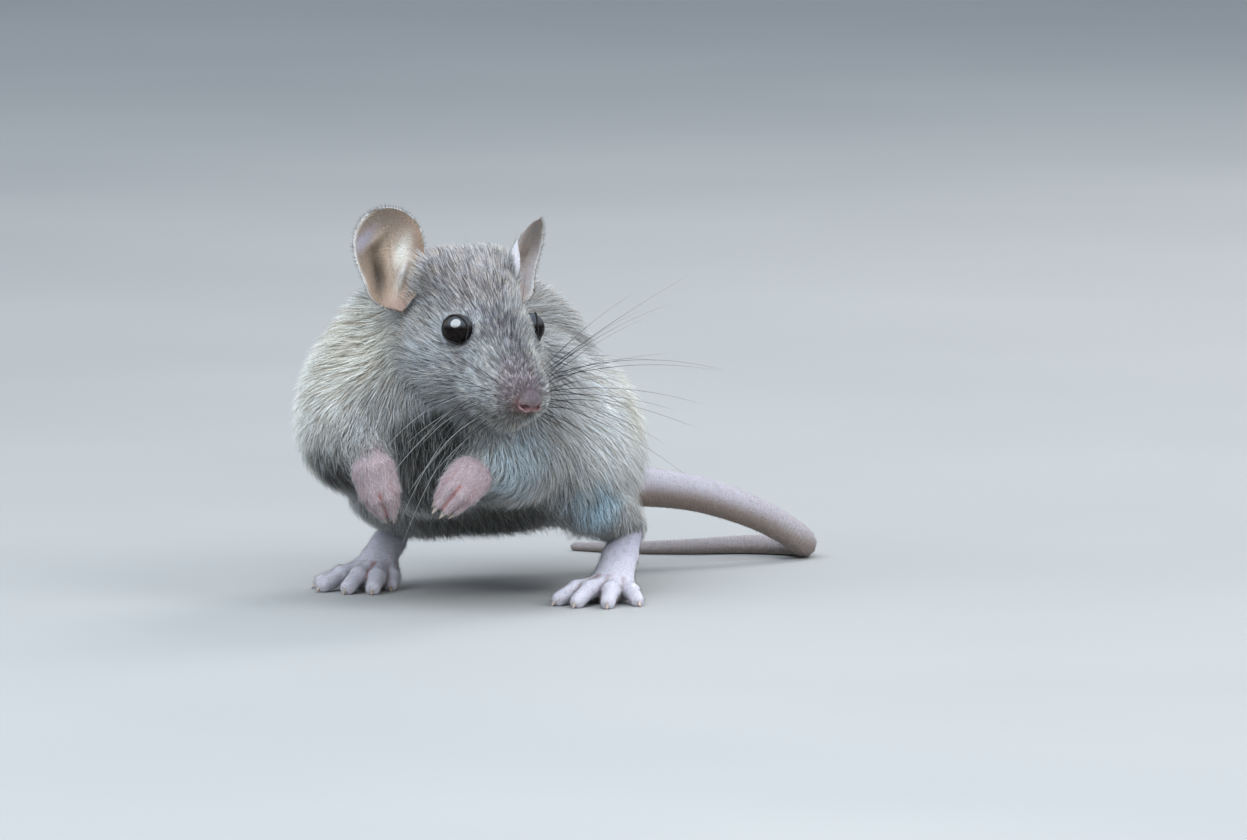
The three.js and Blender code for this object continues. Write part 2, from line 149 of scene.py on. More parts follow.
TRUNK_COAT, SHOULDER_COAT, THIGH_COAT, NECK_COAT = 2.6, 2.3, 4.2, 2.0
LOIN_COAT, RUMP_COAT, NAPE_COAT = 3.8, 3.4, 1.75
TRUNK_MASSES = [  # place, radii, yaw, coat
    ((-7, 4, 31), (17, 13.5, 16.5), -20, TRUNK_COAT),  # chest
    ((-6.3, 12, 34), (19.2, 15.5, 19.5), -25, TRUNK_COAT),  # ribs and withers
    ((3.5, 24, 34.5), (17, 18, 18), -30, TRUNK_COAT),  # back
    ((3, 24, 25), (18.5, 19, 16.8), -30, TRUNK_COAT),  # belly
    ((10.5, 35, 25), (16, 16, 16.5), -30, LOIN_COAT),  # loins
    ((17, 44, 18), (11.5, 11, 11), -30, RUMP_COAT),  # rump
    ((11.5, 7, 30), (9, 10, 13), -20, TRUNK_COAT),  # left flank, behind the elbow
    ((18.5, 15, 24), (10.2, 15, 15.2), -12, THIGH_COAT),  # left thigh
    ((-8.5, 27, 23), (10.5, 14, 15), -45, TRUNK_COAT),  # right thigh
    ((6, -1, 28), (8, 8.5, 10.5), -10, SHOULDER_COAT),  # left shoulder
    ((-18.4, 3, 31.3), (9.4, 10, 12.6), -30, SHOULDER_COAT),  # right shoulder
]
NECK_FROM, NECK_TO, NECK_RADII = (-6, 5, 40.5), (-3, 1, 44.5), (14.0, 9.8)
TRUNK_MELT, ARM_MELT, SHANK_MELT, HEAD_MELT, NAPE_MELT = 7.5, 7.0, 2.5, 3.4, 5.0

SKULL_COAT, CHEEK_COAT, BRIDGE_COAT, MUZZLE_COAT, JAW_COAT, THROAT_COAT = 1.15, 1.3, 0.75, 0.45, 0.8, 2.0
SKULL = ((-7.4, 0, -0.8), (11.8, 7.9, 9.3))
OCCIPUT = ((-12.5, 0, -3.4), (8.4, 8.6, 8.4))
EAR_BASE = ((-11.2, 5.4, 2.8), (5.0, 4.6, 5.0))
CHEEK = ((-5.0, 5.6, -6.6), (8.8, 6.2, 7.4))
LIP_PAD = ((9.0, 3.1, -6.6), (4.4, 3.3, 3.7))
BRIDGE = ((1.6, 0, -2.2), (10.0, 0, -4.6), 6.2, 3.9)
SNOUT = ((4.0, 4.0, -6.2), (6.0, 2.9, 4.6))
JAW = ((-3, 0, -8.8), (9.8, 0, -9.8), 6.0, 2.6)
THROAT = ((-3, 0, -10.5), (8.5, 8.5, 6.8))

FORELEGS = {
    "left": {
        "forearm": ((6.8, -3.5, 24.8), (4.2, -7.3, 24.1), (1.2, -10.8, 23.0)),
        "digits": (-4.3, -7.4, -3.8),
        "back": (0.25, -0.85, 0.45),
    },
    "right": {
        "forearm": ((-20.6, -2.4, 27), (-18.5, -6.4, 26.4), (-16.0, -10.2, 25.2)),
        "digits": (2.6, -3.5, -8.6),
        "back": (-0.15, -0.95, 0.3),
    },
}
FOREARM_RADII, FOREARM_COAT = (5.4, 4.4, 2.9), (1.6, 1.3, 0.7)
HIND_LEGS = {
    "left": {"ball": (22.5, 4, 0), "heading": -110, "shin": (20.5, 9, 16)},
    "right": {"ball": (-17, 24, 0), "heading": -120, "shin": (-15, 22, 16)},
}
SHANK_RADII, SHANK_COAT = (5.0, 4.1, 2.8), (1.8, 1.2, 0.4)
HEEL = (-11, -0.7, 11)


def in_head(p):
    return (p - HEAD_PLACE) @ HEAD.T


def from_head(q):
    return HEAD_PLACE + np.asarray(q, float) @ HEAD


def folded(q):
    """Points of the head brought over to its left side."""
    return np.stack([q[:, 0], np.abs(q[:, 1]), q[:, 2]], 1)


def mirrored(point, side):
    """A point given for the left side, on the side asked for."""
    return np.array([point[0], side * point[1], point[2]], float)


def foot_frame(name):
    """Forward, left and up of a hind foot, as rows."""
    a = math.radians(HIND_LEGS[name]["heading"])
    return np.array([[math.cos(a), math.sin(a), 0], [-math.sin(a), math.cos(a), 0], [0, 0, 1.0]])


def shank_points(name, side):
    """Knee, middle and heel of a hind leg."""
    shin = np.array(HIND_LEGS[name]["shin"], float)
    heel = np.array(HIND_LEGS[name]["ball"], float) + mirrored(HEEL, side) @ foot_frame(name)
    return shin, (shin + heel) / 2, heel


def limbs():
    """The middle line, radii and coat of each forearm and shank, and how softly it joins the trunk."""
    for name, side in SIDES:
        yield FORELEGS[name]["forearm"], FOREARM_RADII, FOREARM_COAT, ARM_MELT
        yield shank_points(name, side), SHANK_RADII, SHANK_COAT, SHANK_MELT


def shrunk(radii, coat):
    return tuple(r - coat for r in radii)


def trunk_form(p, bare):
    """Distance to the trunk: to the tips of the coat where bare is 0, and to the skin where it is 1."""
    parts = [ball(p, place, radii, yaw) + bare * coat for place, radii, yaw, coat in TRUNK_MASSES]
    parts.append(taper(p, NECK_FROM, NECK_TO, *NECK_RADII) + bare * NECK_COAT)
    total = melted(parts, TRUNK_MELT)
    for points, radii, coats, width in limbs():
        r = [a - bare * b for a, b in zip(radii, coats)]
        upper = taper(p, points[0], points[1], r[0], r[1])
        lower = taper(p, points[1], points[2], r[1], r[2])
        total = melt(total, np.minimum(upper, lower), width)
    return total


def head_form(q, bare):
    """Distance to the head, in its own frame, where the head is alike on both sides."""
    q = folded(q)
    muzzle = step(q[:, 0], 4, 10)  # the coat thins towards the nose
    return melted(
        [
            ball(q, *SKULL) + bare * SKULL_COAT,
            ball(q, *OCCIPUT) + bare * NAPE_COAT,
            ball(q, *EAR_BASE) + bare * SKULL_COAT,
            ball(q, *THROAT) + bare * THROAT_COAT,
            taper(q, *BRIDGE) + bare * (BRIDGE_COAT - (BRIDGE_COAT - MUZZLE_COAT) * muzzle),
            ball(q, *LIP_PAD) + bare * MUZZLE_COAT,
            ball(q, *SNOUT) + bare * BRIDGE_COAT,
            ball(q, *CHEEK) + bare * CHEEK_COAT,
            taper(q, *JAW) + bare * JAW_COAT,
        ],
        HEAD_MELT,
    )


def outline(p):
    """Distance to the tips of the coat."""
    return melt(trunk_form(p, 0), head_form(in_head(p), 0), NAPE_MELT)


# Each lid is a shell of skin over the eyeball, open round the way the eye looks.
EYE_LOOK = unit(np.array([0.34, 0.85, 0.40]))
EYE_ACROSS = unit(np.cross(EYE_LOOK, [0, 0, 1.0]))
EYE_RISE = np.cross(EYE_ACROSS, EYE_LOOK)
LID_RADIUS, LID_THICK, LID_SHELL, LID_OVAL, LID_MELT = 2.25, 0.13, 0.25, 0.1, 1.6
CORNER_REACH, CORNER_TURN, CORNER_SPREAD = 0.4, -30, 0.3
BROW_RISE, BROW_REACH, SOCKET_GAP = 0.5, 5.0, 0.15


def lid_reach(around):
    """How far the rim of the lids lies from the eye's axis, in each direction round it."""
    turn = np.angle(np.exp(1j * (around - math.radians(CORNER_TURN))))
    corner = np.exp(-((turn / CORNER_SPREAD) ** 2))
    return LID_RADIUS + CORNER_REACH * corner + LID_OVAL * np.cos(2 * around), corner


def from_eye(q):
    """Where points of the head lie from the eye on their own side, as if that side were the left."""
    centre = np.where(q[:, 1:2] > 0, EYE_PLACES[1], EYE_PLACES[-1])
    return folded(q) - centre


def skin_form(p):
    """Distance to the skin of the head, trunk and legs, with its eye sockets; the cleft lip and mouth are
    pressed in by mouth_lines.
    """
    q = in_head(p)
    face = head_form(q, 1)
    eye = from_eye(q)
    away = length_of(eye)
    deep, x, z = eye @ EYE_LOOK, eye @ EYE_ACROSS, eye @ EYE_RISE
    face = face - BROW_RISE * np.exp(-((away / BROW_REACH) ** 2))  # the brow and cheek rise to the lids
    face = melt(face, away - (EYE_RADIUS + LID_SHELL), LID_MELT)
    opening = np.maximum(np.hypot(x, z) - lid_reach(np.arctan2(z, x))[0], -deep)
    face = np.maximum(face, -np.maximum(opening, EYE_RADIUS - SOCKET_GAP - away))
    return melt(trunk_form(p, 1), face, NAPE_MELT)


CLEFT_WIDTH, CLEFT_DEPTH, MOUTH_WIDTH, MOUTH_DEPTH, MOUTH_HEIGHT = 0.3, 0.35, 0.33, 0.5, -8.6


def mouth_lines(p):
    """How deep the cleft of the upper lip and the line of the mouth press into the skin."""
    x, y, z = folded(in_head(p)).T
    above = step(z, MOUTH_HEIGHT - 0.1, MOUTH_HEIGHT + 0.4)
    split = np.exp(-((y / CLEFT_WIDTH) ** 2)) * step(x, 10.5, 11.5) * above * step(-z, 5.5, 6.5)
    off = z - MOUTH_HEIGHT - 0.12 * y + 0.03 * y * y  # the mouth curls up towards the cheek
    mouth = np.exp(-((off / MOUTH_WIDTH) ** 2)) * step(x, 4.0, 6.0)
    return CLEFT_DEPTH * split + MOUTH_DEPTH * mouth


def slope(form, p, reach=0.03):
    """The way out of a form at each point, which is a unit vector where the form is a true distance."""
    return np.stack([form(p + reach * e) - form(p - reach * e) for e in np.eye(3)], 1) / (2 * reach)


def settle(p, form, rounds, most=0.8):
    """Moves points onto the surface of a form."""
    for _ in range(rounds):
        way = slope(form, p)
        go = form(p) / np.maximum((way * way).sum(1), 0.15)
        p = p - np.clip(go, -most, most)[:, None] * way
    return p


def points_of(mesh):
    co = np.empty(len(mesh.vertices) * 3)
    mesh.vertices.foreach_get("co", co)
    return co.reshape(-1, 3)


def set_points(mesh, p):
    mesh.vertices.foreach_set("co", np.asarray(p, np.float32).ravel())
    mesh.update()


def mesh_of(name, bm):
    """A mesh of what was made in bm, which is then let go."""
    mesh = bpy.data.meshes.new(name)
    bm.to_mesh(mesh)
    bm.free()
    return mesh


def object_of(name, made):
    """An object of a bmesh, or of a mesh, a curve, a light or a camera, in the scene."""
    data = mesh_of(name, made) if isinstance(made, bmesh.types.BMesh) else made
    piece = bpy.data.objects.new(name, data)
    bpy.context.scene.collection.objects.link(piece)
    return piece


def finished(piece):
    """The mesh that a piece's modifier or curve makes; the piece itself is taken away."""
    bpy.context.view_layer.update()
    seen = piece.evaluated_get(bpy.context.evaluated_depsgraph_get())
    mesh = bpy.data.meshes.new_from_object(seen)
    bpy.data.objects.remove(piece)
    return mesh


def applied(piece, kind, **settings):
    """The piece's mesh with one modifier applied."""
    modifier = piece.modifiers.new("finish", kind)
    for key, value in settings.items():
        setattr(modifier, key, value)
    return finished(piece)


def wrapped(name, bm, voxel, form, rounds=6):
    """One closed sheet of even quads drawn round the rough shapes in bm and settled on a form."""
    mesh = applied(object_of(name, bm), "REMESH", mode="VOXEL", voxel_size=voxel)
    set_points(mesh, settle(points_of(mesh), form, rounds))
    return mesh


def add_ball(bm, place, radii, turn=None, rounds=3):
    """Adds a ball with three radii, turned and placed; `rounds` is how finely it is divided."""
    matrix = Matrix.Translation(Vector(place)) @ (turn or Matrix()) @ Matrix.Diagonal((*radii, 1))
    bmesh.ops.create_icosphere(bm, subdivisions=rounds, radius=1, matrix=matrix)


def add_length(bm, a, b, ra, rb, count=7):
    """Adds a row of balls from a to b, whose radii go from ra to rb."""
    a, b = np.array(a, float), np.array(b, float)
    for t in np.linspace(0, 1, count):
        add_ball(bm, (1 - t) * a + t * b, [(1 - t) * ra + t * rb] * 3, rounds=2)


def divided(mesh, near):
    """The mesh with each edge halved where both its ends are `near`."""
    inside = near(points_of(mesh))
    bm = bmesh.new()
    bm.from_mesh(mesh)
    edges = [e for e in bm.edges if inside[e.verts[0].index] and inside[e.verts[1].index]]
    bmesh.ops.subdivide_edges(bm, edges=edges, cuts=1, use_grid_fill=True)
    bm.to_mesh(mesh)
    bm.free()
    return mesh


def unwrapped(mesh):
    """Lays the mesh's own surface out flat in a UV map called OFBake."""
    mesh.uv_layers.new(name="OFBake")
    piece = object_of("unwrapping", mesh)
    bpy.ops.object.select_all(action="DESELECT")
    piece.select_set(True)
    bpy.context.view_layer.objects.active = piece
    bpy.ops.object.mode_set(mode="EDIT")
    bpy.ops.mesh.select_all(action="SELECT")
    bpy.ops.uv.smart_project(angle_limit=math.radians(70), island_margin=0.004)
    bpy.ops.object.mode_set(mode="OBJECT")
    bpy.data.objects.remove(piece)
    return mesh


rough = bmesh.new()
for place, radii, yaw, coat in TRUNK_MASSES:
    add_ball(rough, place, shrunk(radii, coat), Matrix.Rotation(math.radians(yaw), 4, "Z"))
add_length(rough, NECK_FROM, NECK_TO, NECK_RADII[0] - NECK_COAT, NECK_RADII[1] - NECK_COAT)
head_turn = Matrix(HEAD.T.tolist()).to_4x4()
for place, radii in (SKULL, OCCIPUT, THROAT):
    add_ball(rough, from_head(place), shrunk(radii, SKULL_COAT), head_turn)
for _, side in SIDES:
    for (place, radii), coat in ((CHEEK, CHEEK_COAT), (EAR_BASE, SKULL_COAT), (LIP_PAD, MUZZLE_COAT)):
        add_ball(rough, from_head(mirrored(place, side)), shrunk(radii, coat), head_turn)
    add_ball(rough, from_head(mirrored(EYE_PLACES[side], side)), [EYE_RADIUS + LID_SHELL] * 3)
for a, b, ra, rb in (BRIDGE, JAW):
    add_length(rough, from_head(a), from_head(b), ra - MUZZLE_COAT, rb - MUZZLE_COAT)
for points, radii, coats, _ in limbs():
    r = [a - b for a, b in zip(radii, coats)]
    add_length(rough, points[0], points[1], r[0], r[1])
    add_length(rough, points[1], points[2], r[1], r[2])


def plain_skin(p):
    """Distance to the skin of the whole body, without its eyes."""
    return melt(trunk_form(p, 1), head_form(in_head(p), 1), NAPE_MELT)


BODY_MESH, HEAD_ZONE, FACE_ZONE, FACE_FRONT = 1.0, 2.0, 1.5, -7.0
flesh = unwrapped(wrapped("flesh", rough, BODY_MESH, plain_skin))
flesh = divided(flesh, lambda p: head_form(in_head(p), 0) < HEAD_ZONE)
set_points(flesh, settle(points_of(flesh), skin_form, 2))
flesh = divided(flesh, lambda p: (in_head(p)[:, 0] > FACE_FRONT) & (head_form(in_head(p), 0) < FACE_ZONE))
p = settle(points_of(flesh), skin_form, 4, most=0.3)
set_points(flesh, p - mouth_lines(p)[:, None] * unit(slope(skin_form, p)))

# ------------------------------------------------------------------ eyelids
# A thin dark rim of bare skin round each eye, almost round and drawn out a little towards the nose. It
# is a ring spun about the way the eye looks, and it lies on the eyeball.

LID_STEPS, LID_SIDES, LID_LIFT, MERGE = 72, 12, 0.1, 1e-4


def lid(side):
    """The lids of one eye, as one ring, in pose millimetres."""
    bm = bmesh.new()
    edge, upright = (LID_RADIUS, 0, 0), Matrix.Rotation(math.pi / 2, 3, "X")
    bmesh.ops.create_circle(bm, segments=LID_SIDES, radius=LID_THICK, matrix=Matrix.Translation(edge))
    bmesh.ops.rotate(bm, verts=bm.verts, cent=edge, matrix=upright)
    bmesh.ops.spin(
        bm, geom=bm.verts[:] + bm.edges[:], cent=(0, 0, 0), axis=(0, 0, 1), angle=2 * math.pi,
        steps=LID_STEPS, use_merge=True,
    )
    bmesh.ops.remove_doubles(bm, verts=bm.verts, dist=MERGE)
    bmesh.ops.recalc_face_normals(bm, faces=bm.faces)
    mesh = mesh_of("lid", bm)
    p = points_of(mesh)
    around = np.arctan2(p[:, 1], p[:, 0])
    rim, corner = lid_reach(around)
    reach = np.hypot(p[:, 0], p[:, 1]) - LID_RADIUS + rim
    on_ball = np.sqrt((EYE_RADIUS + LID_LIFT) ** 2 - np.minimum(rim, EYE_RADIUS) ** 2)
    deep = p[:, 2] + on_ball - LID_LIFT * corner
    q = EYE_PLACES[side] + deep[:, None] * EYE_LOOK + (reach * np.cos(around))[:, None] * EYE_ACROSS
    q = q + (reach * np.sin(around))[:, None] * EYE_RISE
    set_points(mesh, from_head(q * [1, side, 1]))
    if side < 0:
        mesh.flip_normals()
    return mesh


# ------------------------------------------------------------------ ears
# Thin leaves of almost bare skin, rolled into cups on a stalk, with a thickened rim and a deep hollow
# above the root. Each is a ball pressed into a leaf, bent, and set on the head by its root.

EAR_LENGTH, EAR_WIDTH, EAR_THICKNESS = 15.2, 13.4, 0.8
EAR_MESH, ROLL_AT_ROOT, ROLL_AT_TIP, CUP_DEPTH, CURL, STALK_IN = 5, 2.5, 1.2, 2.0, 0.45, 0.13
EARS = {
    "left": {
        "root": (6.6, -1.6, 50.6), "tip": (0.36, 0.62, 0.80), "opening": (0.90, -0.36, -0.1),
        "outer": -1, "twist": 14, "slim": 0.7,
    },
    "right": {
        "root": (-11.2, -8.2, 50.2), "tip": (-0.2, 0.1, 0.96), "opening": (0, -1, 0.1),
        "outer": 1, "twist": 0, "slim": 0,
    },
}
RELIEF = {  # inside an ear: a height or depth, its centre over the leaf, its reach and its turn
    "fold": (0.65, (0.32, 0.67), (0.30, 0.03), -14),
    "rib": (0.4, (-0.05, 0.42), (0.05, 0.22), 12),
    "flap": (1.3, (-0.2, 0.29), (0.26, 0.08), -27),
    "hollow": (1.8, (0.44, 0.34), (0.20, 0.26), -15),
    "canal": (1.0, (-0.1, 0.2), (0.2, 0.12), 0),
}


def facing(along, up):
    """Rows whose first runs along `along` and whose third leans towards `up`."""
    x = unit(np.array(along, float))
    y = unit(np.cross(np.array(up, float), x))
    return np.array([x, y, np.cross(x, y)])


def dab(x, y, centre, reach, turn):
    """A soft oval spot, 1 at its centre."""
    c, s = math.cos(math.radians(turn)), math.sin(math.radians(turn))
    dx, dy = x - centre[0], y - centre[1]
    return np.exp(-(((c * dx + s * dy) / reach[0]) ** 2) - ((c * dy - s * dx) / reach[1]) ** 2)


def ear_leaf(ball_points, hand, slim):
    """Where the points of a unit ball go on an ear with its root at the origin and its tip at +X.

    `hand` is 1 or -1, so that +hand in Y is the outer edge. It also gives each point's place on the leaf.
    """
    x, y, z = ball_points.T
    rim = np.hypot(x, y)
    spread = (0.16 * rim + 0.84 * np.arcsin(np.minimum(rim, 1)) / (math.pi / 2)) / np.maximum(rim, 1e-6)
    across, along = y * spread, (x * spread + 1) / 2
    outer = across * hand
    swell = np.exp(-(((along - 0.12) / 0.12) ** 2))
    shoulder = np.where(outer > 0, 0.94, 1.0) + np.where(outer > 0, 0.24, 0.1) * (1 - slim) * swell
    across = across * shoulder * (1 - 0.55 * np.exp(-((along / np.where(outer > 0, 0.04, 0.1)) ** 2)))
    across = across * (1 - slim * np.where(outer > 0, 0.05, 1.0) * step(along, 0.15, 0.75))
    across = across * (1 + 0.35 * slim * (outer > 0) * np.exp(-(((along - 0.3) / 0.2) ** 2)))
    width = EAR_WIDTH * (1 - 0.2 * (1 - along) ** 2.2 + 0.05 * np.clip(outer, 0, 1) * (1 - along))
    roll = ROLL_AT_ROOT + (ROLL_AT_TIP - ROLL_AT_ROOT) * np.sqrt(np.clip(along, 0, 1))
    angle, bend = across * roll / 2, width / roll
    thickness = EAR_THICKNESS * (0.5 + 0.5 * np.sqrt(np.clip(1 - rim**2, 0, 1)))
    edge = np.sign(z) * np.sqrt(np.clip(1 - rim**6, 0, 1)) * thickness / 2
    high = {name: height * dab(outer, along, *spot) for name, (height, *spot) in RELIEF.items()}
    hollow = high["hollow"] + high["canal"]
    curl = CURL * step(rim, 0.86, 1.0) * step(1 - along, 0.1, 0.8)
    r = bend - edge
    cup = CUP_DEPTH * np.sin(math.pi * np.clip(along, 0, 1)) + hollow - high["fold"] - high["rib"]
    cup = cup - high["flap"] * (edge > 0) - curl
    stalk = along - STALK_IN * (1 - np.clip(along, 0, 1)) ** 4  # the stalk runs on into the head
    leaf = np.stack([stalk * EAR_LENGTH, r * np.sin(angle), bend - r * np.cos(angle) - cup], 1)
    return leaf, outer, along, rim, edge > 0


EAR_TONES_AND_PAINTED_LIGHT = {  # inside each ear: a colour, its centre over the leaf, its reach and turn, and its strength; among them are painted shade, painted light and a painted sheen
    "right": (
        ((0.13, 0.11, 0.088), (0.0, 0.97), (1.4, 0.27), 0, 0.95),  # short-haired upper part
        ((0.16, 0.135, 0.115), (0.85, 0.6), (0.25, 0.4), 0, 0.7),  # outer edge
        ((0.36, 0.35, 0.43), (0.62, 0.70), (0.34, 0.07), -14, 0.9),  # fold, as a painted lilac sheen
        ((0.12, 0.09, 0.06), (0.30, 0.60), (0.28, 0.04), -14, 0.7),  # painted shadow beneath the fold
        ((0.045, 0.033, 0.022), (0.46, 0.34), (0.17, 0.25), -15, 0.97),  # painted shade in the deep hollow
        ((0.68, 0.67, 0.62), (-0.34, 0.51), (0.30, 0.12), -19, 0.97),  # where light comes through
        ((0.62, 0.60, 0.58), (-0.20, 0.29), (0.26, 0.06), -27, 0.9),  # flap in front of the canal
        ((0.22, 0.15, 0.11), (-0.85, 0.36), (0.20, 0.26), 0, 0.9),  # inner edge
        ((0.15, 0.085, 0.065), (-0.35, 0.14), (0.35, 0.07), -20, 0.9),  # canal
        ((0.33, 0.21, 0.18), (0.1, 0.03), (0.4, 0.09), 0, 0.8),  # stalk
    ),
    "left": (
        ((0.12, 0.115, 0.115), (0.0, 0.95), (1.5, 0.45), 0, 0.95),  # upper part
        ((0.42, 0.42, 0.46), (0.95, 0.45), (0.35, 0.5), 0, 0.9),  # outer edge, pale, partly painted light on the lit rim
        ((0.56, 0.55, 0.59), (-0.75, 0.42), (0.45, 0.26), 0, 0.9),  # inner edge: whitish fur, made paler as partly painted light where it turns from the light
        ((0.24, 0.15, 0.115), (0.1, 0.26), (0.6, 0.2), 0, 0.9),  # towards the root
    ),
}
EAR_INSIDE, EAR_OUTSIDE, EAR_RIM = (0.39, 0.285, 0.21), (0.70, 0.68, 0.72), (0.72, 0.70, 0.68)


def ear(name):
    """The mesh of one ear, and the colour of the skin at each of its points, with painted shade and
    light.
    """
    bm = bmesh.new()
    bmesh.ops.create_icosphere(bm, subdivisions=EAR_MESH, radius=1)
    mesh = mesh_of("ear", bm)
    spot = EARS[name]
    leaf, outer, along, rim, inside = ear_leaf(unit(points_of(mesh)), spot["outer"], spot["slim"])
    turn = np.radians(spot["twist"]) * (1 - np.clip(along, 0, 1)) ** 1.2
    c, s = np.cos(turn), np.sin(turn)
    across, high = leaf[:, 1].copy(), leaf[:, 2].copy()
    leaf[:, 1], leaf[:, 2] = c * across - s * high, s * across + c * high
    set_points(mesh, np.array(spot["root"]) + leaf @ facing(spot["tip"], spot["opening"]))
    tone = np.tile(EAR_INSIDE, (len(leaf), 1))
    for colour, centre, reach, turn, strength in EAR_TONES_AND_PAINTED_LIGHT[name]:
        tone += (strength * dab(outer, along, centre, reach, turn))[:, None] * (np.array(colour) - tone)
    tone = np.where(inside[:, None], tone, EAR_OUTSIDE)
    edge = 0.8 * step(rim, 0.985, 0.998) * step(along, 0.15, 0.35) * step(outer, 0.1, 0.5)
    return mesh, tone + edge[:, None] * (np.array(EAR_RIM) - tone)


# ------------------------------------------------------------------ feet
# Bare pink skin over slender digits, four on each forepaw and five on each hind foot. The toes and the
# ball of each hind foot press flat on the ground.

PAW_SCALE = 0.87
FOOT_MESH, FOOT_KEPT = 0.22, 0.4
GROUND, LIFTED = 0.0, -99.0  # how low a foot may reach
DIGIT_STOPS, KNUCKLES = 7, (1, 0.97, 0.93, 1.06, 0.9, 0.98, 1.0)
SOLE_STOPS, SOLE_ROUGH = 5, 0.95
SOLE_MELT, DIGIT_MELT, FOOT_MELT = 0.8, 0.45, 1.2
PALM = (((-0.6, 0, 0.6), 3.1), ((2.4, 0, 0.7), 3.75), ((6.2, 0, -0.2), 3.2))
PALM_FLAT = 0.72
FINGERS = (
    (((4.2, -2.5, 0.0), (7.4, -2.5, -0.4), (9.9, -1.9, -2.5)), (1.45, 1.3, 0.8)),
    (((5.0, -1.15, 0.4), (8.6, -1.2, 0.1), (11.4, -0.85, -2.4)), (1.45, 1.3, 0.85)),
    (((4.9, 1.15, 0.4), (8.4, 1.2, 0.1), (11.0, 0.95, -2.5)), (1.45, 1.3, 0.85)),
    (((3.8, 2.6, 0.0), (6.8, 2.7, -0.5), (9.3, 2.3, -2.6)), (1.4, 1.25, 0.8)),
)
INSTEP = (((-11, -0.7, 11), 2.5), ((-6.2, -0.4, 6.8), 2.9), ((-0.6, 0, 2.1), 3.5))
INSTEP_FLAT = 0.7
TOES = (
    (((-3.2, -2.3, 2.8), (-0.9, -4.2, 1.9), (1.4, -5.4, 0.95)), (1.6, 1.4, 1.1)),
    (((0, -2.2, 2.3), (4.0, -4.2, 2.3), (7.8, -5.8, 1.05)), (1.8, 1.5, 1.2)),
    (((0.6, -0.7, 2.4), (5.2, -1.5, 2.5), (9.5, -2.0, 1.05)), (1.8, 1.5, 1.2)),
    (((0.5, 1.0, 2.4), (4.7, 2.0, 2.4), (8.8, 3.0, 1.05)), (1.8, 1.5, 1.2)),
    (((-1.4, 2.2, 2.3), (1.4, 4.3, 2.0), (4.0, 6.3, 0.95)), (1.7, 1.4, 1.1)),
)
FEET = {}
for name, side in SIDES:
    FEET["forepaw_" + name] = {
        "origin": np.array(FORELEGS[name]["forearm"][2], float),
        "turn": facing(FORELEGS[name]["digits"], FORELEGS[name]["back"]),
        "scale": PAW_SCALE, "side": side, "sole": PALM, "flat": PALM_FLAT, "digits": FINGERS,
        "floor": LIFTED,
    }
    FEET["hind_foot_" + name] = {
        "origin": np.array(HIND_LEGS[name]["ball"], float),
        "turn": foot_frame(name),
        "scale": 1.0, "side": side, "sole": INSTEP, "flat": INSTEP_FLAT, "digits": TOES,
        "floor": GROUND,
    }


def curve_through(points, count):
    """Points at even steps of a smooth curve through the given ones."""
    p = np.array(points, float)
    p = np.concatenate([[2 * p[0] - p[1]], p, [2 * p[-1] - p[-2]]])
    spans = len(points) - 1
    t = np.linspace(0, spans, count)
    k = np.minimum(t.astype(int), spans - 1)
    f = (t - k)[:, None]
    a, b, c, d = p[k], p[k + 1], p[k + 2], p[k + 3]
    square, cube = 2 * a - 5 * b + 4 * c - d, 3 * b - a - 3 * c + d
    return 0.5 * (2 * b + (c - a) * f + square * f**2 + cube * f**3)


def on_foot(foot, points):
    """Points given in a foot's own frame, in pose millimetres."""
    points = np.array([mirrored(p, foot["side"]) for p in points])
    return foot["origin"] + points @ foot["turn"] * foot["scale"]


def digit_line(foot, points, widths):
    """Places down the middle of a digit, and its radius at each."""
    width = np.interp(np.linspace(0, 2, DIGIT_STOPS), [0, 1, 2], widths) * foot["scale"]
    return curve_through(on_foot(foot, points), DIGIT_STOPS), width


def foot_parts(foot, p):
    """Distances to the sole and to each digit."""
    scale, up = foot["scale"], foot["turn"][2]
    places = on_foot(foot, [place for place, _ in foot["sole"]])
    radii = [r * scale for _, r in foot["sole"]]
    spans = range(len(places) - 1)
    sole = [strap(p, places[i], places[i + 1], radii[i], radii[i + 1], foot["flat"], up) for i in spans]
    digits = []
    for points, widths in foot["digits"]:
        line, width = digit_line(foot, points, widths)
        width = width * np.array(KNUCKLES)
        spans = range(DIGIT_STOPS - 1)
        lengths = [taper(p, line[i], line[i + 1], width[i], width[i + 1]) for i in spans]
        digits.append(np.minimum.reduce(lengths))
    return melted(sole, SOLE_MELT), digits


def foot_form(foot):
    """The distance to one foot, as a function of places."""
    def form(p):
        sole, digits = foot_parts(foot, p)
        return melt(melted(digits, DIGIT_MELT), sole, FOOT_MELT)

    return form


def grounded(mesh, floor):
    """The mesh with nothing below the floor."""
    p = points_of(mesh)
    p[:, 2] = np.maximum(p[:, 2], floor)
    set_points(mesh, p)
    return mesh


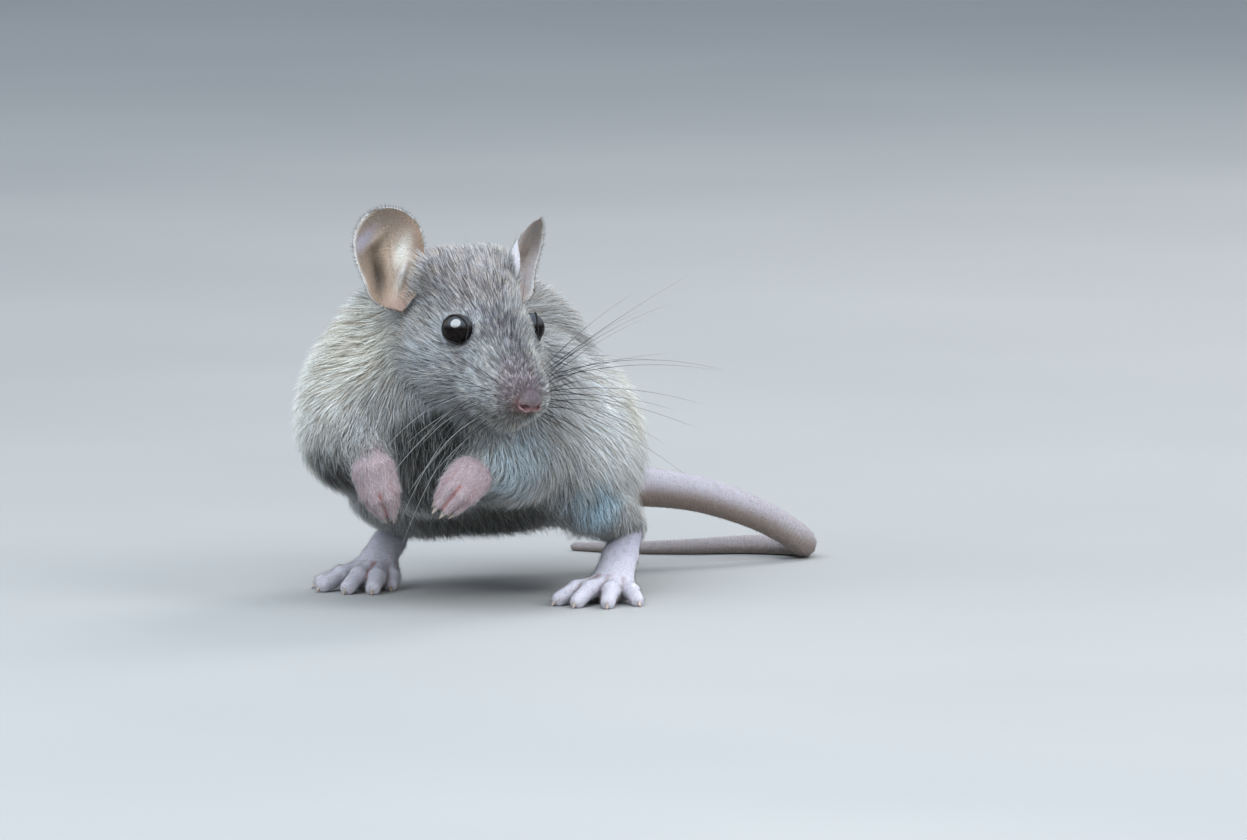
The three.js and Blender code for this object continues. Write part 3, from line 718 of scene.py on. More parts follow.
def foot_mesh(foot):
    bm = bmesh.new()
    places = on_foot(foot, [place for place, _ in foot["sole"]])
    flat = Matrix(foot["turn"].T.tolist()).to_4x4()
    for i in range(len(places) - 1):
        for t in np.linspace(0, 1, SOLE_STOPS):
            r = ((1 - t) * foot["sole"][i][1] + t * foot["sole"][i + 1][1]) * foot["scale"] * SOLE_ROUGH
            add_ball(bm, (1 - t) * places[i] + t * places[i + 1], (r, r, r * foot["flat"]), flat, 2)
    for points, widths in foot["digits"]:
        line, width = digit_line(foot, points, widths)
        for i in range(DIGIT_STOPS - 1):
            add_length(bm, line[i], line[i + 1], width[i], width[i + 1], 3)
    mesh = wrapped("foot", bm, FOOT_MESH, foot_form(foot), 4)
    bm = bmesh.new()
    bm.from_mesh(mesh)
    for _ in range(2):
        bmesh.ops.smooth_vert(
            bm, verts=bm.verts, factor=0.5, use_axis_x=True, use_axis_y=True, use_axis_z=True
        )
    bm.to_mesh(mesh)
    bm.free()
    set_points(mesh, settle(points_of(mesh), foot_form(foot), 1, most=0.1))
    return grounded(applied(object_of("foot", mesh), "DECIMATE", ratio=FOOT_KEPT), foot["floor"])


# ------------------------------------------------------------------ tail
# A long taper of finely ringed skin that leaves the rump, swings out to the left and comes back along the
# ground. It is one tube drawn along a curve.

TAIL = (
    (20, 49.5, 13.4), (27, 55, 13.2), (37, 59, 11.5), (47, 62, 7.8), (54, 65.5, 3.2),
    (53, 71, 1.5), (45, 73.5, 1.2), (35, 72.5, 1.0), (25, 73.5, 0.8), (16, 78, 0.6),
)
TAIL_ROOT_RADIUS, TAIL_TIP_RADIUS, TAIL_FALL = 3.6, 0.75, 1.15
TAIL_STEPS, TAIL_SIDES, TAIL_SAMPLES = 230, 16, 1500
TIP_LENGTH, TIP_ROUND, TIP_LEAST = 1.2, 1.45, 0.02

tail_line = curve_through(TAIL, TAIL_SAMPLES)
tail_run = np.concatenate([[0], np.cumsum(length_of(np.diff(tail_line, axis=0)))])
TAIL_LENGTH = tail_run[-1]
tail_stops = np.linspace(0, TAIL_LENGTH, TAIL_STEPS)
tail_line = np.stack([np.interp(tail_stops, tail_run, tail_line[:, i]) for i in range(3)], 1)


def tube(line, radii, sides):
    """A closed round length along a line, with a radius at each of its points."""
    curve = bpy.data.curves.new("tube", "CURVE")
    curve.dimensions = "3D"
    curve.bevel_depth = 1.0
    curve.bevel_resolution = sides // 4 - 1
    curve.use_fill_caps = True
    spline = curve.splines.new("POLY")
    spline.points.add(len(line) - 1)
    for point, place, radius in zip(spline.points, line, radii):
        point.co = (*place, 1)
        point.radius = radius
    mesh = finished(object_of("tube", curve))
    bm = bmesh.new()
    bm.from_mesh(mesh)
    bmesh.ops.remove_doubles(bm, verts=bm.verts, dist=MERGE)
    bmesh.ops.recalc_face_normals(bm, faces=bm.faces)
    bm.to_mesh(mesh)
    bm.free()
    return mesh


def tail_mesh():
    """The tail, closed by a rounded tip."""
    share = (tail_stops / TAIL_LENGTH) ** TAIL_FALL
    radii = TAIL_ROOT_RADIUS + (TAIL_TIP_RADIUS - TAIL_ROOT_RADIUS) * share
    over = np.clip(tail_stops - TAIL_LENGTH + TIP_LENGTH, 0, None)
    tip = np.sqrt(np.clip(1 - over**2 / TIP_ROUND, TIP_LEAST, 1))
    return grounded(tube(tail_line, radii * tip, TAIL_SIDES), 0)


# ------------------------------------------------------------------ nose
# A small pad of moist pink skin, split by a groove down its middle, with a comma of a nostril on each
# side. It is a ball pressed in along the groove and the nostrils.

NOSE_WING, WING_MELT = ((13.85, 1.0, -4.75), (1.45, 1.15, 1.3)), 0.4
GROOVE, GROOVE_DEPTH = ((15.6, 0, -3.8), (14.8, 0, -6.6)), 0.28
NOSTRIL = ((15.2, 0.8, -4.9), (15.0, 1.3, -4.5), (14.4, 1.9, -4.7))
NOSTRIL_RADII, NOSTRIL_DEPTH = (0.36, 0.26, 0.04), 0.95
CUT_EDGE = 0.2


def nose_form(p):
    q = folded(in_head(p))
    return melt(ball(q, NOSE_PLACE, NOSE_RADII), ball(q, *NOSE_WING), WING_MELT)


def nose_cuts(p):
    """Nearness to the groove and to the nostrils, from 0 to 1."""
    q = folded(in_head(p))
    groove = taper(q, *GROOVE, 0.0, 0.0)
    slit = np.minimum(
        taper(q, *NOSTRIL[:2], *NOSTRIL_RADII[:2]), taper(q, *NOSTRIL[1:], *NOSTRIL_RADII[1:])
    )
    return np.exp(-((groove / CUT_EDGE) ** 2)), np.exp(-((np.maximum(slit, 0) / CUT_EDGE) ** 2))


def nose_mesh():
    bm = bmesh.new()
    add_ball(bm, from_head(NOSE_PLACE), NOSE_RADII, head_turn, rounds=6)
    mesh = mesh_of("nose", bm)
    p = settle(points_of(mesh), nose_form, 5, most=0.3)
    groove, slit = nose_cuts(p)
    deep = GROOVE_DEPTH * groove + NOSTRIL_DEPTH * slit
    set_points(mesh, p - deep[:, None] * unit(slope(nose_form, p)))
    return mesh


# ------------------------------------------------------------------ the skin, in one piece
# Lids, ears, feet, tail and nose grow out of the flesh, so they are one surface with no seam.


def joined(mesh, other):
    """One mesh of two, without what lies inside them."""
    first, second = object_of("skin", mesh), object_of("joining", other)
    made = applied(first, "BOOLEAN", operation="UNION", solver="MANIFOLD", object=second)
    bpy.data.objects.remove(second)
    return made


CAD_EYE = (0.3, -6.6, 0.3)  # where the solids' right eye lies from the head's middle
bare_parts, ear_tones_and_painted_light = {"nose": nose_mesh(), "tail": tail_mesh()}, {}
for name, side in SIDES:
    bare_parts["lid_" + name] = lid(side)
    bare_parts["ear_" + name], ear_tones_and_painted_light[name] = ear(name)
for name, foot in FEET.items():
    bare_parts[name] = foot_mesh(foot)
whole = flesh.copy()
for part, mesh in bare_parts.items():
    whole = joined(whole, mesh)

OFFSET = np.array(sum(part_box("eye_right"), Vector())) / 2 / MM - from_head(CAD_EYE)


def set_down(name, mesh, material, slot, *replaced):
    """Puts a finished mesh in the frame as a piece of the animal."""
    set_points(mesh, (points_of(mesh) + OFFSET) * MM)
    mesh.polygons.foreach_set("use_smooth", [True] * len(mesh.polygons))
    piece = object_of(name, mesh)
    mesh.name = name
    mesh.materials.clear()
    mesh.materials.append(material)
    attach(piece, "root")
    if replaced:
        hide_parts(*replaced)


def mark(mesh, name, values):
    """Keeps one number for each vertex under a name that the material reads."""
    mesh.attributes.new(name, "FLOAT", "POINT").data.foreach_set("value", np.asarray(values, np.float32))


def finder(places):
    """Looks up which of some places is nearest."""
    found = kdtree.KDTree(len(places))
    for i, place in enumerate(places):
        found.insert(place, i)
    found.balance()
    return found


def nearest(points, places):
    """For each point, which of the places is nearest."""
    found = finder(places)
    return np.array([found.find(point)[1] for point in points], int)


def nearness(p, mesh, low, high):
    """1 at the points that lie within `low` of a mesh, fading to 0 at `high`."""
    places = points_of(mesh)
    found = finder(places)
    near = np.zeros(len(p))
    for i in np.nonzero(((p > places.min(0) - high) & (p < places.max(0) + high)).all(1))[0]:
        near[i] = 1 - step(found.find(p[i])[2], low, high)
    return near


# Shader nodes are placed by these, and a socket or a plain value goes in wherever a node takes one.
def feed(tree, made, inputs):
    for key, value in inputs.items():
        socket = made.inputs[key]
        if isinstance(value, bpy.types.NodeSocket):
            tree.links.new(value, socket)
        elif socket.type == "RGBA" and isinstance(value, tuple) and len(value) == 3:
            socket.default_value = (*value, 1)
        else:
            socket.default_value = value


def node(tree, kind, inputs, **settings):
    made = tree.nodes.new("ShaderNode" + kind)
    for key, value in settings.items():
        setattr(made, key, value)
    feed(tree, made, inputs)
    return made


def mixed(tree, factor, one, two, kind="MIX"):
    return node(tree, "Mix", {0: factor, 6: one, 7: two}, data_type="RGBA", blend_type=kind).outputs[2]


def sums(tree, operation, one, two=0.0):
    return node(tree, "Math", {0: one, 1: two}, operation=operation).outputs[0]


def times(tree, one, two):
    return sums(tree, "MULTIPLY", one, two)


def fade(tree, value, low, high, start=0.0, end=1.0):
    inputs = {"Value": value, "From Min": low, "From Max": high, "To Min": start, "To Max": end}
    return node(tree, "MapRange", inputs, interpolation_type="SMOOTHSTEP").outputs[0]


def numbers(tree, name):
    return node(tree, "Attribute", {}, attribute_name=name).outputs["Fac"]


def places(tree):
    return node(tree, "TexCoord", {}).outputs["Object"]


def height_in(tree, vector):
    return node(tree, "SeparateXYZ", {0: vector}).outputs["Z"]


def facing_up(tree):
    return height_in(tree, node(tree, "NewGeometry", {}).outputs["Normal"])


def specks(tree, scale, detail=2.0):
    inputs = {"Vector": places(tree), "Scale": scale, "Detail": detail, "Roughness": 0.5}
    return node(tree, "TexNoise", inputs).outputs["Fac"]


def mottled(tree, scale, low, high, one, two, detail=2.0):
    """Two colours in fine specks."""
    return mixed(tree, fade(tree, specks(tree, scale, detail), low, high), one, two)


# The markings of the coat, with painted shade and painted light among them: soft patches, each a place
# in pose millimetres, a reach and a colour. Their edges wander a little.
GREY, BACK, BELLY_SHADE = (0.41, 0.43, 0.44), (0.34, 0.345, 0.345), (0.07, 0.075, 0.07)
WANDER, WANDER_SCALE, PATCH_CORE, PATCH_EDGE = 0.008, 160.0, 0.35, 1.1
MARKINGS_AND_PAINTED_LIGHT = (
    ((2, 26, 52), 26, BACK),
    ((16, 46, 30), 20, BACK),  # rump
    # painted shade: the belly is made nearly black, far darker than its own pale grey
    ((3, 16, 8), 16, BELLY_SHADE),
    ((-4, -6, 20), 12, (0.036, 0.041, 0.040)),  # chest, made nearly black as painted shade under the chin
    ((-6, -9, 27), 8, (0.038, 0.043, 0.041)),  # breast, made nearly black as painted shade under the chin
    ((-22, -2, 42), 14, (0.76, 0.76, 0.69)),  # right shoulder: cream fur, made paler as partly painted light
    ((-24, 4, 30), 14, (0.90, 0.94, 0.91)),  # right upper arm, made near white as painted light
    ((-20, -4, 22), 7.5, (0.04, 0.04, 0.04)),  # painted shadow over the right wrist, under the fringe of the shoulder
    ((8, -9, 23.5), 8, (0.44, 0.55, 0.63)),  # pale patch below the chin
    ((27, 6, 29), 15, (0.86, 0.92, 0.95)),  # haunch, made near white as painted light
    ((30, 15, 32), 10, (0.60, 0.61, 0.56)),  # back of the haunch
    ((20, 2, 13), 8, (0.38, 0.54, 0.66)),  # left knee: grey, made paler and bluer as partly painted light
    ((-6, -15, 38), 10, (0.57, 0.62, 0.66)),  # cheek
    ((-0.5, -10, 60), 15, (0.325, 0.305, 0.325)),  # brow
    ((5, -16, 49), 6.5, (0.20, 0.20, 0.235)),  # between the eyes
    ((-1.5, -15, 45.5), 4.8, (0.45, 0.48, 0.52)),  # round the eye
    ((9, -17.5, 42), 6.0, (0.135, 0.13, 0.145)),  # bridge of the muzzle
    ((8.5, -19, 37.5), 6.4, (0.20, 0.165, 0.19)),  # round the nose
    ((8, -17.5, 32.5), 4.8, (0.145, 0.13, 0.11)),  # chin
)


def group_of(name, inputs, outputs):
    """A shader node group with named inputs and outputs, and its output node."""
    tree = bpy.data.node_groups.new(name, "ShaderNodeTree")
    for way, sockets in (("INPUT", inputs), ("OUTPUT", outputs)):
        for socket, kind in sockets.items():
            tree.interface.new_socket(socket, in_out=way, socket_type="NodeSocket" + kind)
    return tree, tree.nodes.new("NodeGroupOutput")


def vectors(tree, operation, inputs, output=0):
    return node(tree, "VectorMath", inputs, operation=operation).outputs[output]


def markings_and_painted_light():
    tree, out = group_of("markings_and_painted_light", {}, {"Color": "Color"})
    colour = mottled(tree, 90, 0.35, 0.65, GREY, tuple(0.9 * c for c in GREY))
    waver = {"Vector": places(tree), "Scale": WANDER_SCALE, "Detail": 2.0}
    moved = node(tree, "TexNoise", waver).outputs["Color"]
    moved = vectors(tree, "ADD", {0: moved, 1: (-0.5, -0.5, -0.5)})
    moved = vectors(tree, "SCALE", {0: moved, "Scale": WANDER})
    moved = vectors(tree, "ADD", {0: moved, 1: places(tree)})
    for place, reach, patch in MARKINGS_AND_PAINTED_LIGHT:
        spot = Vector((np.array(place) + OFFSET) * MM)
        away = vectors(tree, "DISTANCE", {0: moved, 1: spot}, "Value")
        near = fade(tree, away, reach * MM * PATCH_CORE, reach * MM * PATCH_EDGE, 1.0, 0.0)
        colour = mixed(tree, near, colour, patch)
    feed(tree, out, {0: colour})
    return tree


def new_material(name):
    """An empty node material, its tree and its shader."""
    material = bpy.data.materials.new(name)
    material.use_nodes = True
    return material, material.node_tree, material.node_tree.nodes["Principled BSDF"]


# Where each kind of bare skin lies on the one surface, kept as numbers for its material to read.
coat_markings_and_painted_light = markings_and_painted_light()
co = points_of(whole)
ZONE_NEAR, ZONE_FAR, NOSE_FAR = 0.15, 0.7, 1.6
FOOT_REACH, PAW_END, FOOT_END = 18, (1.8, 3.2), (9.0, 11.5)
CREASE_WIDTH, CREASE_NEAR, SIDE_CREASE = 0.4, 0.5, 0.4
zones = {"ear": 0, "tail": 0, "nose": 0, "lid": 0, "forepaw": 0, "hind": 0}
for part, mesh in bare_parts.items():
    zone = part.split("_")[0]
    far = NOSE_FAR if zone == "nose" else ZONE_FAR
    zones[zone] = np.maximum(zones[zone], nearness(co, mesh, ZONE_NEAR, far))
for part, foot in FEET.items():
    wrist = (co - foot["origin"]) @ foot["turn"].T / foot["scale"]
    zone = part.split("_")[0]
    above = step(-wrist[:, 0], *PAW_END) if zone == "forepaw" else step(wrist[:, 2], *FOOT_END)
    zones[zone] = np.where(length_of(wrist) < FOOT_REACH, zones[zone] * (1 - above), zones[zone])
zones["nose"] = zones["nose"] * (1 - 0.8 * step(in_head(co)[:, 2], -4.6, -3.3))  # hair comes over its top
for zone, values in zones.items():
    mark(whole, zone, values)
run, on_tail = np.zeros(len(co)), zones["tail"] > 0
run[on_tail] = tail_stops[nearest(co[on_tail], tail_line)]
mark(whole, "run", run)
# Painted shade in the gaps between the digits of each foot, strongest in the middle gap.
crease, close = np.zeros(len(co)), zones["forepaw"] + zones["hind"] > 0
for foot in FEET.values():
    digits = np.stack(foot_parts(foot, co[close])[1])
    near, which = np.sort(digits, 0), np.argsort(digits, 0)
    deep = np.where(which[0] + which[1] == 3, 1.0, SIDE_CREASE)  # the middle gap shows most
    deep = deep * np.exp(-(((near[1] - near[0]) / CREASE_WIDTH) ** 2)) * (near[0] < CREASE_NEAR)
    crease[close] = np.maximum(crease[close], deep)
mark(whole, "crease", crease)
mark(whole, "slit", nose_cuts(co)[1] * zones["nose"])
# The colours inside the ears, with their painted shade and light, go onto the whole skin.
tint = np.tile([*EAR_INSIDE, 1.0], (len(co), 1))
for name, _ in SIDES:
    mesh = bare_parts["ear_" + name]
    near = np.nonzero(nearness(co, mesh, 0.5, 1.5) > 0)[0]
    tint[near, :3] = ear_tones_and_painted_light[name][nearest(co[near], points_of(mesh))]
tints = whole.attributes.new("ear_tint", "FLOAT_COLOR", "POINT")
tints.data.foreach_set("color", tint.astype(np.float32).ravel())
whole.uv_layers.remove(whole.uv_layers["OFBake"])

SKIN_TONES = {
    "tail": (0.44, 0.41, 0.46),
    "nose": (0.17, 0.095, 0.10),
    "lid": (0.012, 0.010, 0.010),
    # the forepaws' pink skin is darker than the hind feet's, partly painted shade between the digits
    "forepaw": (0.33, 0.25, 0.27),
    "hind": (0.66, 0.64, 0.72),
}
# Painted shade: a purple-grey high on the hind shins, and brown under the tail.
SHIN_SHADE, TAIL_UNDERSIDE_SHADE, TAIL_TIP = (0.25, 0.24, 0.34), (0.22, 0.165, 0.135), (0.29, 0.245, 0.23)
# Painted shade: dark red in the creases between the digits, and near black inside the nostrils.
CREASE_SHADE, NOSE_WING_TONE, NOSTRIL_SHADE = (0.27, 0.075, 0.06), (0.40, 0.23, 0.23), (0.05, 0.008, 0.01)
PAW_SPECK, UNDER_HAIR, RING_WIDTH = (0.45, 0.28, 0.30), (0.58, 0.56, 0.57), 0.62
skin_look, tree, shader = new_material("skin")
tail, slit, run = numbers(tree, "tail"), numbers(tree, "slit"), numbers(tree, "run")
forepaw, hind = numbers(tree, "forepaw"), numbers(tree, "hind")
colour = node(tree, "Group", {}, node_tree=coat_markings_and_painted_light).outputs[0]
colour = mixed(tree, 1.0, colour, UNDER_HAIR, "MULTIPLY")
inside = node(tree, "Attribute", {}, attribute_name="ear_tint").outputs["Color"]
colour = mixed(tree, numbers(tree, "ear"), colour, inside)
for zone, tone in SKIN_TONES.items():
    colour = mixed(tree, numbers(tree, zone), colour, tone)
# painted shade up each hind shin, growing from 4 mm to 11.5 mm above the ground
shin = fade(tree, height_in(tree, places(tree)), 0.004, 0.0115, 0.0, 0.75)
for share, tone in (
    # painted shade on the upper hind shins
    (times(tree, shin, hind), SHIN_SHADE),
    # painted shade on the underside of the tail
    (times(tree, tail, fade(tree, facing_up(tree), -0.5, 0.5, 1.0, 0.0)), TAIL_UNDERSIDE_SHADE),
    (times(tree, fade(tree, run, 12.0, 60.0, 0.0, 0.7), tail), TAIL_TIP),
    # painted shade in the creases between the digits
    (times(tree, numbers(tree, "crease"), 0.85), CREASE_SHADE),
    (times(tree, fade(tree, slit, 0.01, 0.1), fade(tree, slit, 0.2, 0.5, 0.4, 0.0)), NOSE_WING_TONE),
    # painted shade inside the nostrils
    (fade(tree, slit, 0.3, 0.8), NOSTRIL_SHADE),
    (times(tree, fade(tree, specks(tree, 900, 3), 0.35, 0.7, 0.0, 0.2), forepaw), PAW_SPECK),
):
    colour = mixed(tree, share, colour, tone)
ring = times(tree, sums(tree, "SINE", times(tree, run, 2 * math.pi / RING_WIDTH)), tail)
grain = {"Vector": places(tree), "Scale": 2600.0}
cell = node(tree, "TexVoronoi", grain, feature="DISTANCE_TO_EDGE").outputs[0]
height = sums(tree, "ADD", times(tree, ring, 0.5), fade(tree, cell, 0.0, 0.25))
bump = node(tree, "Bump", {"Height": height, "Strength": 0.5, "Distance": 0.00012})
gloss = fade(tree, numbers(tree, "nose"), 0.0, 1.0, 0.62, 0.2)
feed(tree, shader, {"Base Color": colour, "Normal": bump.outputs[0], "Roughness": gloss})
shader.inputs["Subsurface Weight"].default_value = 0.12
shader.inputs["Subsurface Radius"].default_value = (0.0015, 0.0007, 0.0004)
shader.inputs["Subsurface Scale"].default_value = 1.0
flesh_nodes = [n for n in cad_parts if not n.startswith("eye")]
set_down("skin", whole, skin_look, "foot_skin", *flesh_nodes)

# ------------------------------------------------------------------ eyes
# Round glossy balls, black with the faintest brown, seated in the lids.

eye_look, tree, shader = new_material("eye")
colour = mottled(tree, 1500, 0.4, 0.7, (0.004, 0.0035, 0.004), (0.012, 0.008, 0.006), 3)
rough = fade(tree, specks(tree, 2500), 0.3, 0.7, 0.03, 0.05)
upper_gloss = fade(tree, facing_up(tree), 0.1, 0.42)  # the glossy coat covers only the upper half, a painted reflection of the light from above; the lower half stays dark, as it does under a soft light
feed(tree, shader, {"Base Color": colour, "Roughness": rough, "Coat Weight": upper_gloss})
shader.inputs["Coat Roughness"].default_value = 0.04
shader.inputs["Coat IOR"].default_value = 2.4
shader.inputs["Specular IOR Level"].default_value = 0.08
for name, side in SIDES:
    bm = bmesh.new()
    place = Matrix.Translation(Vector(from_head(mirrored(EYE_PLACES[side], side))))
    bmesh.ops.create_uvsphere(bm, u_segments=64, v_segments=40, radius=EYE_RADIUS, matrix=place)
    set_down("eyeball_" + name, mesh_of("eye", bm), eye_look, "eye", "eye_" + name)

# ------------------------------------------------------------------ claws
# Small curved points of pale horn at the end of every digit. Each is a short bent taper that starts
# inside the tip of its digit.

CLAW_LENGTH, CLAW_RADII, CLAW_SIDES = 1.5, np.array((0.44, 0.40, 0.34, 0.25, 0.14, 0.03)), 8
claw_look, tree, shader = new_material("claw")
colour = mottled(tree, 1200, 0.35, 0.65, (0.55, 0.45, 0.38), (0.40, 0.31, 0.26))
rough = fade(tree, specks(tree, 3000), 0.3, 0.7, 0.25, 0.4)
feed(tree, shader, {"Base Color": colour, "Roughness": rough})
for part, foot in FEET.items():
    bm = bmesh.new()
    up, long, radii = foot["turn"][2], CLAW_LENGTH * foot["scale"], CLAW_RADII * foot["scale"]
    for points, _ in foot["digits"]:
        knuckle, tip = on_foot(foot, points[1:])
        along = unit(tip - knuckle)
        drop = unit(up * -1 + along * (along @ up))
        start = tip + along * 0.5 * foot["scale"]
        middle = start + along * 0.55 * long + drop * 0.08 * long
        end = start + along * long + drop * 0.35 * long
        line = curve_through((start - along * 0.4, middle, end), len(radii))
        line[:, 2] = np.maximum(line[:, 2], foot["floor"] + radii)
        bm.from_mesh(tube(line, radii, CLAW_SIDES))
    set_down("claws_" + part, mesh_of("claws", bm), claw_look, "foot_skin")

# ------------------------------------------------------------------ the coat
# Soft fur in fine tufts, each a closed spike of three sides rooted in the skin and lying the way the
# coat lies. It is longest on the haunches and flanks and shortest on the face and feet.

LIE = (  # a place on the body and the way its hair points there
    ((-6, -9, 30), (0.05, -0.1, -1)), ((-4, -7, 20), (0.1, 0.1, -1)), ((2, -8, 36), (0.1, -0.2, -1)),
    ((-20, -4, 41), (-0.9, 0.25, -0.35)), ((-26, 3, 34), (-0.5, 0.5, -0.7)),
    ((-22, -5, 26), (-0.25, -0.2, -0.95)), ((-16, -7, 30), (-0.2, -0.2, -0.95)),
    ((8, -9, 28), (0.35, 0, -0.9)), ((12, -4, 35), (0.6, 0.1, -0.8)), ((17, 4, 34), (0.6, 0.5, -0.6)),
    ((22, 1, 28), (0.45, 0.1, -0.88)), ((29, 10, 27), (0.45, 0.4, -0.8)),
    ((22, 1, 14), (0.3, -0.1, -0.95)), ((28, 28, 25), (0.1, 0.6, -0.8)), ((3, 3, 12), (0.25, 0.6, -0.4)),
    ((3, 18, 9), (0.2, 0.95, -0.1)), ((-4, 8, 54), (0.2, 0.95, 0.1)), ((4, 26, 52), (0.35, 0.9, -0.25)),
    ((12, 40, 40), (0.35, 0.75, -0.6)), ((18, 52, 24), (0.2, 0.6, -0.8)),
    ((-26, 14, 32), (0.1, 0.75, -0.65)), ((-18, 28, 26), (0.05, 0.6, -0.8)),
    ((-15, 22, 14), (0, 0.1, -1)), ((-2, 44, 24), (0.1, 0.7, -0.7)), ((20.5, 9, 11), (0.1, -0.1, -1)),
    ((-15, 22, 11), (0, 0.1, -1)), ((4, -7, 24), (-0.7, -0.7, -0.3)),
    ((-18.5, -6, 26), (0.4, -0.7, -0.4)),
)
HEAD_SWEEP, LIE_SPREAD, WAVER = [-0.55, 0, 0.1], 6.0, 0.07


def headness(p):
    """0 on the body, 1 on the head."""
    return step(trunk_form(p, 1) - head_form(in_head(p), 1), -1.0, 4.0)


def along_skin(way, normal):
    """Ways turned to run along the skin."""
    return unit(way - (way * normal).sum(1)[:, None] * normal)


def varied(mean, spread, shape, low, high):
    """Random values spread about a mean and held between two limits."""
    return np.clip(draw.normal(mean, spread, shape), low, high)


def lie(p, normal):
    """The way the hair points along the skin: away from the nose on the head, and by LIE elsewhere."""
    back = unit(in_head(p) - NOSE_PLACE) + HEAD_SWEEP
    way = np.zeros_like(p)
    for place, direction in LIE:
        far = ((p - np.array(place)) ** 2).sum(1)
        way += unit(np.array(direction, float)) / (far + LIE_SPREAD)[:, None] ** 2
    way = unit(way)
    head = headness(p)[:, None]
    way = way * (1 - head) + unit(back @ HEAD) * head
    wave = 2.0 * np.sin(p[:, [2, 0, 1]] * [0.5, 0.6, 0.55])
    way = way + WAVER * np.sin(p[:, [1, 2, 0]] * [1.1, 0.9, 1.3] + wave)
    return along_skin(way, normal)


def scattered(mesh, density):
    """Roots spread over a mesh: their places, the faces' way out, and their places in its OFBake map."""
    mesh.calc_loop_triangles()
    count = len(mesh.loop_triangles)
    corners, loops = np.empty(count * 3, int), np.empty(count * 3, int)
    mesh.loop_triangles.foreach_get("vertices", corners)
    mesh.loop_triangles.foreach_get("loops", loops)
    flat = np.empty(len(mesh.loops) * 2)
    mesh.uv_layers["OFBake"].uv.foreach_get("vector", flat)
    p, uv = points_of(mesh)[corners.reshape(-1, 3)], flat.reshape(-1, 2)[loops.reshape(-1, 3)]
    cross = np.cross(p[:, 1] - p[:, 0], p[:, 2] - p[:, 0])
    total = np.cumsum(length_of(cross) / 2 * density(p.mean(1)))
    pick = np.searchsorted(total, np.arange(int(total[-1])) + draw.random(int(total[-1])))
    pick = np.minimum(pick, count - 1)
    a, b = draw.random(len(pick)), draw.random(len(pick))
    a, b = np.where(a + b > 1, 1 - a, a), np.where(a + b > 1, 1 - b, b)
    weight = np.stack([1 - a - b, a, b], 1)[..., None]
    return (p[pick] * weight).sum(1), unit(cross[pick]), (uv[pick] * weight).sum(1)


LOCK, LOCK_PULL, LOCK_SPREAD = 5, 0.12, 0.35


def gathered(roots, tips):
    """Draws the tips of neighbouring hairs a little together, into locks of about LOCK hairs.

    It also gives the hair that leads each one's lock.
    """
    leaders = draw.permutation(len(roots))[: max(1, len(roots) // LOCK)]
    lead = leaders[nearest(roots, roots[leaders])]
    goal = tips[lead] + LOCK_SPREAD * (roots - roots[lead])
    return tips + LOCK_PULL * (goal - tips), lead


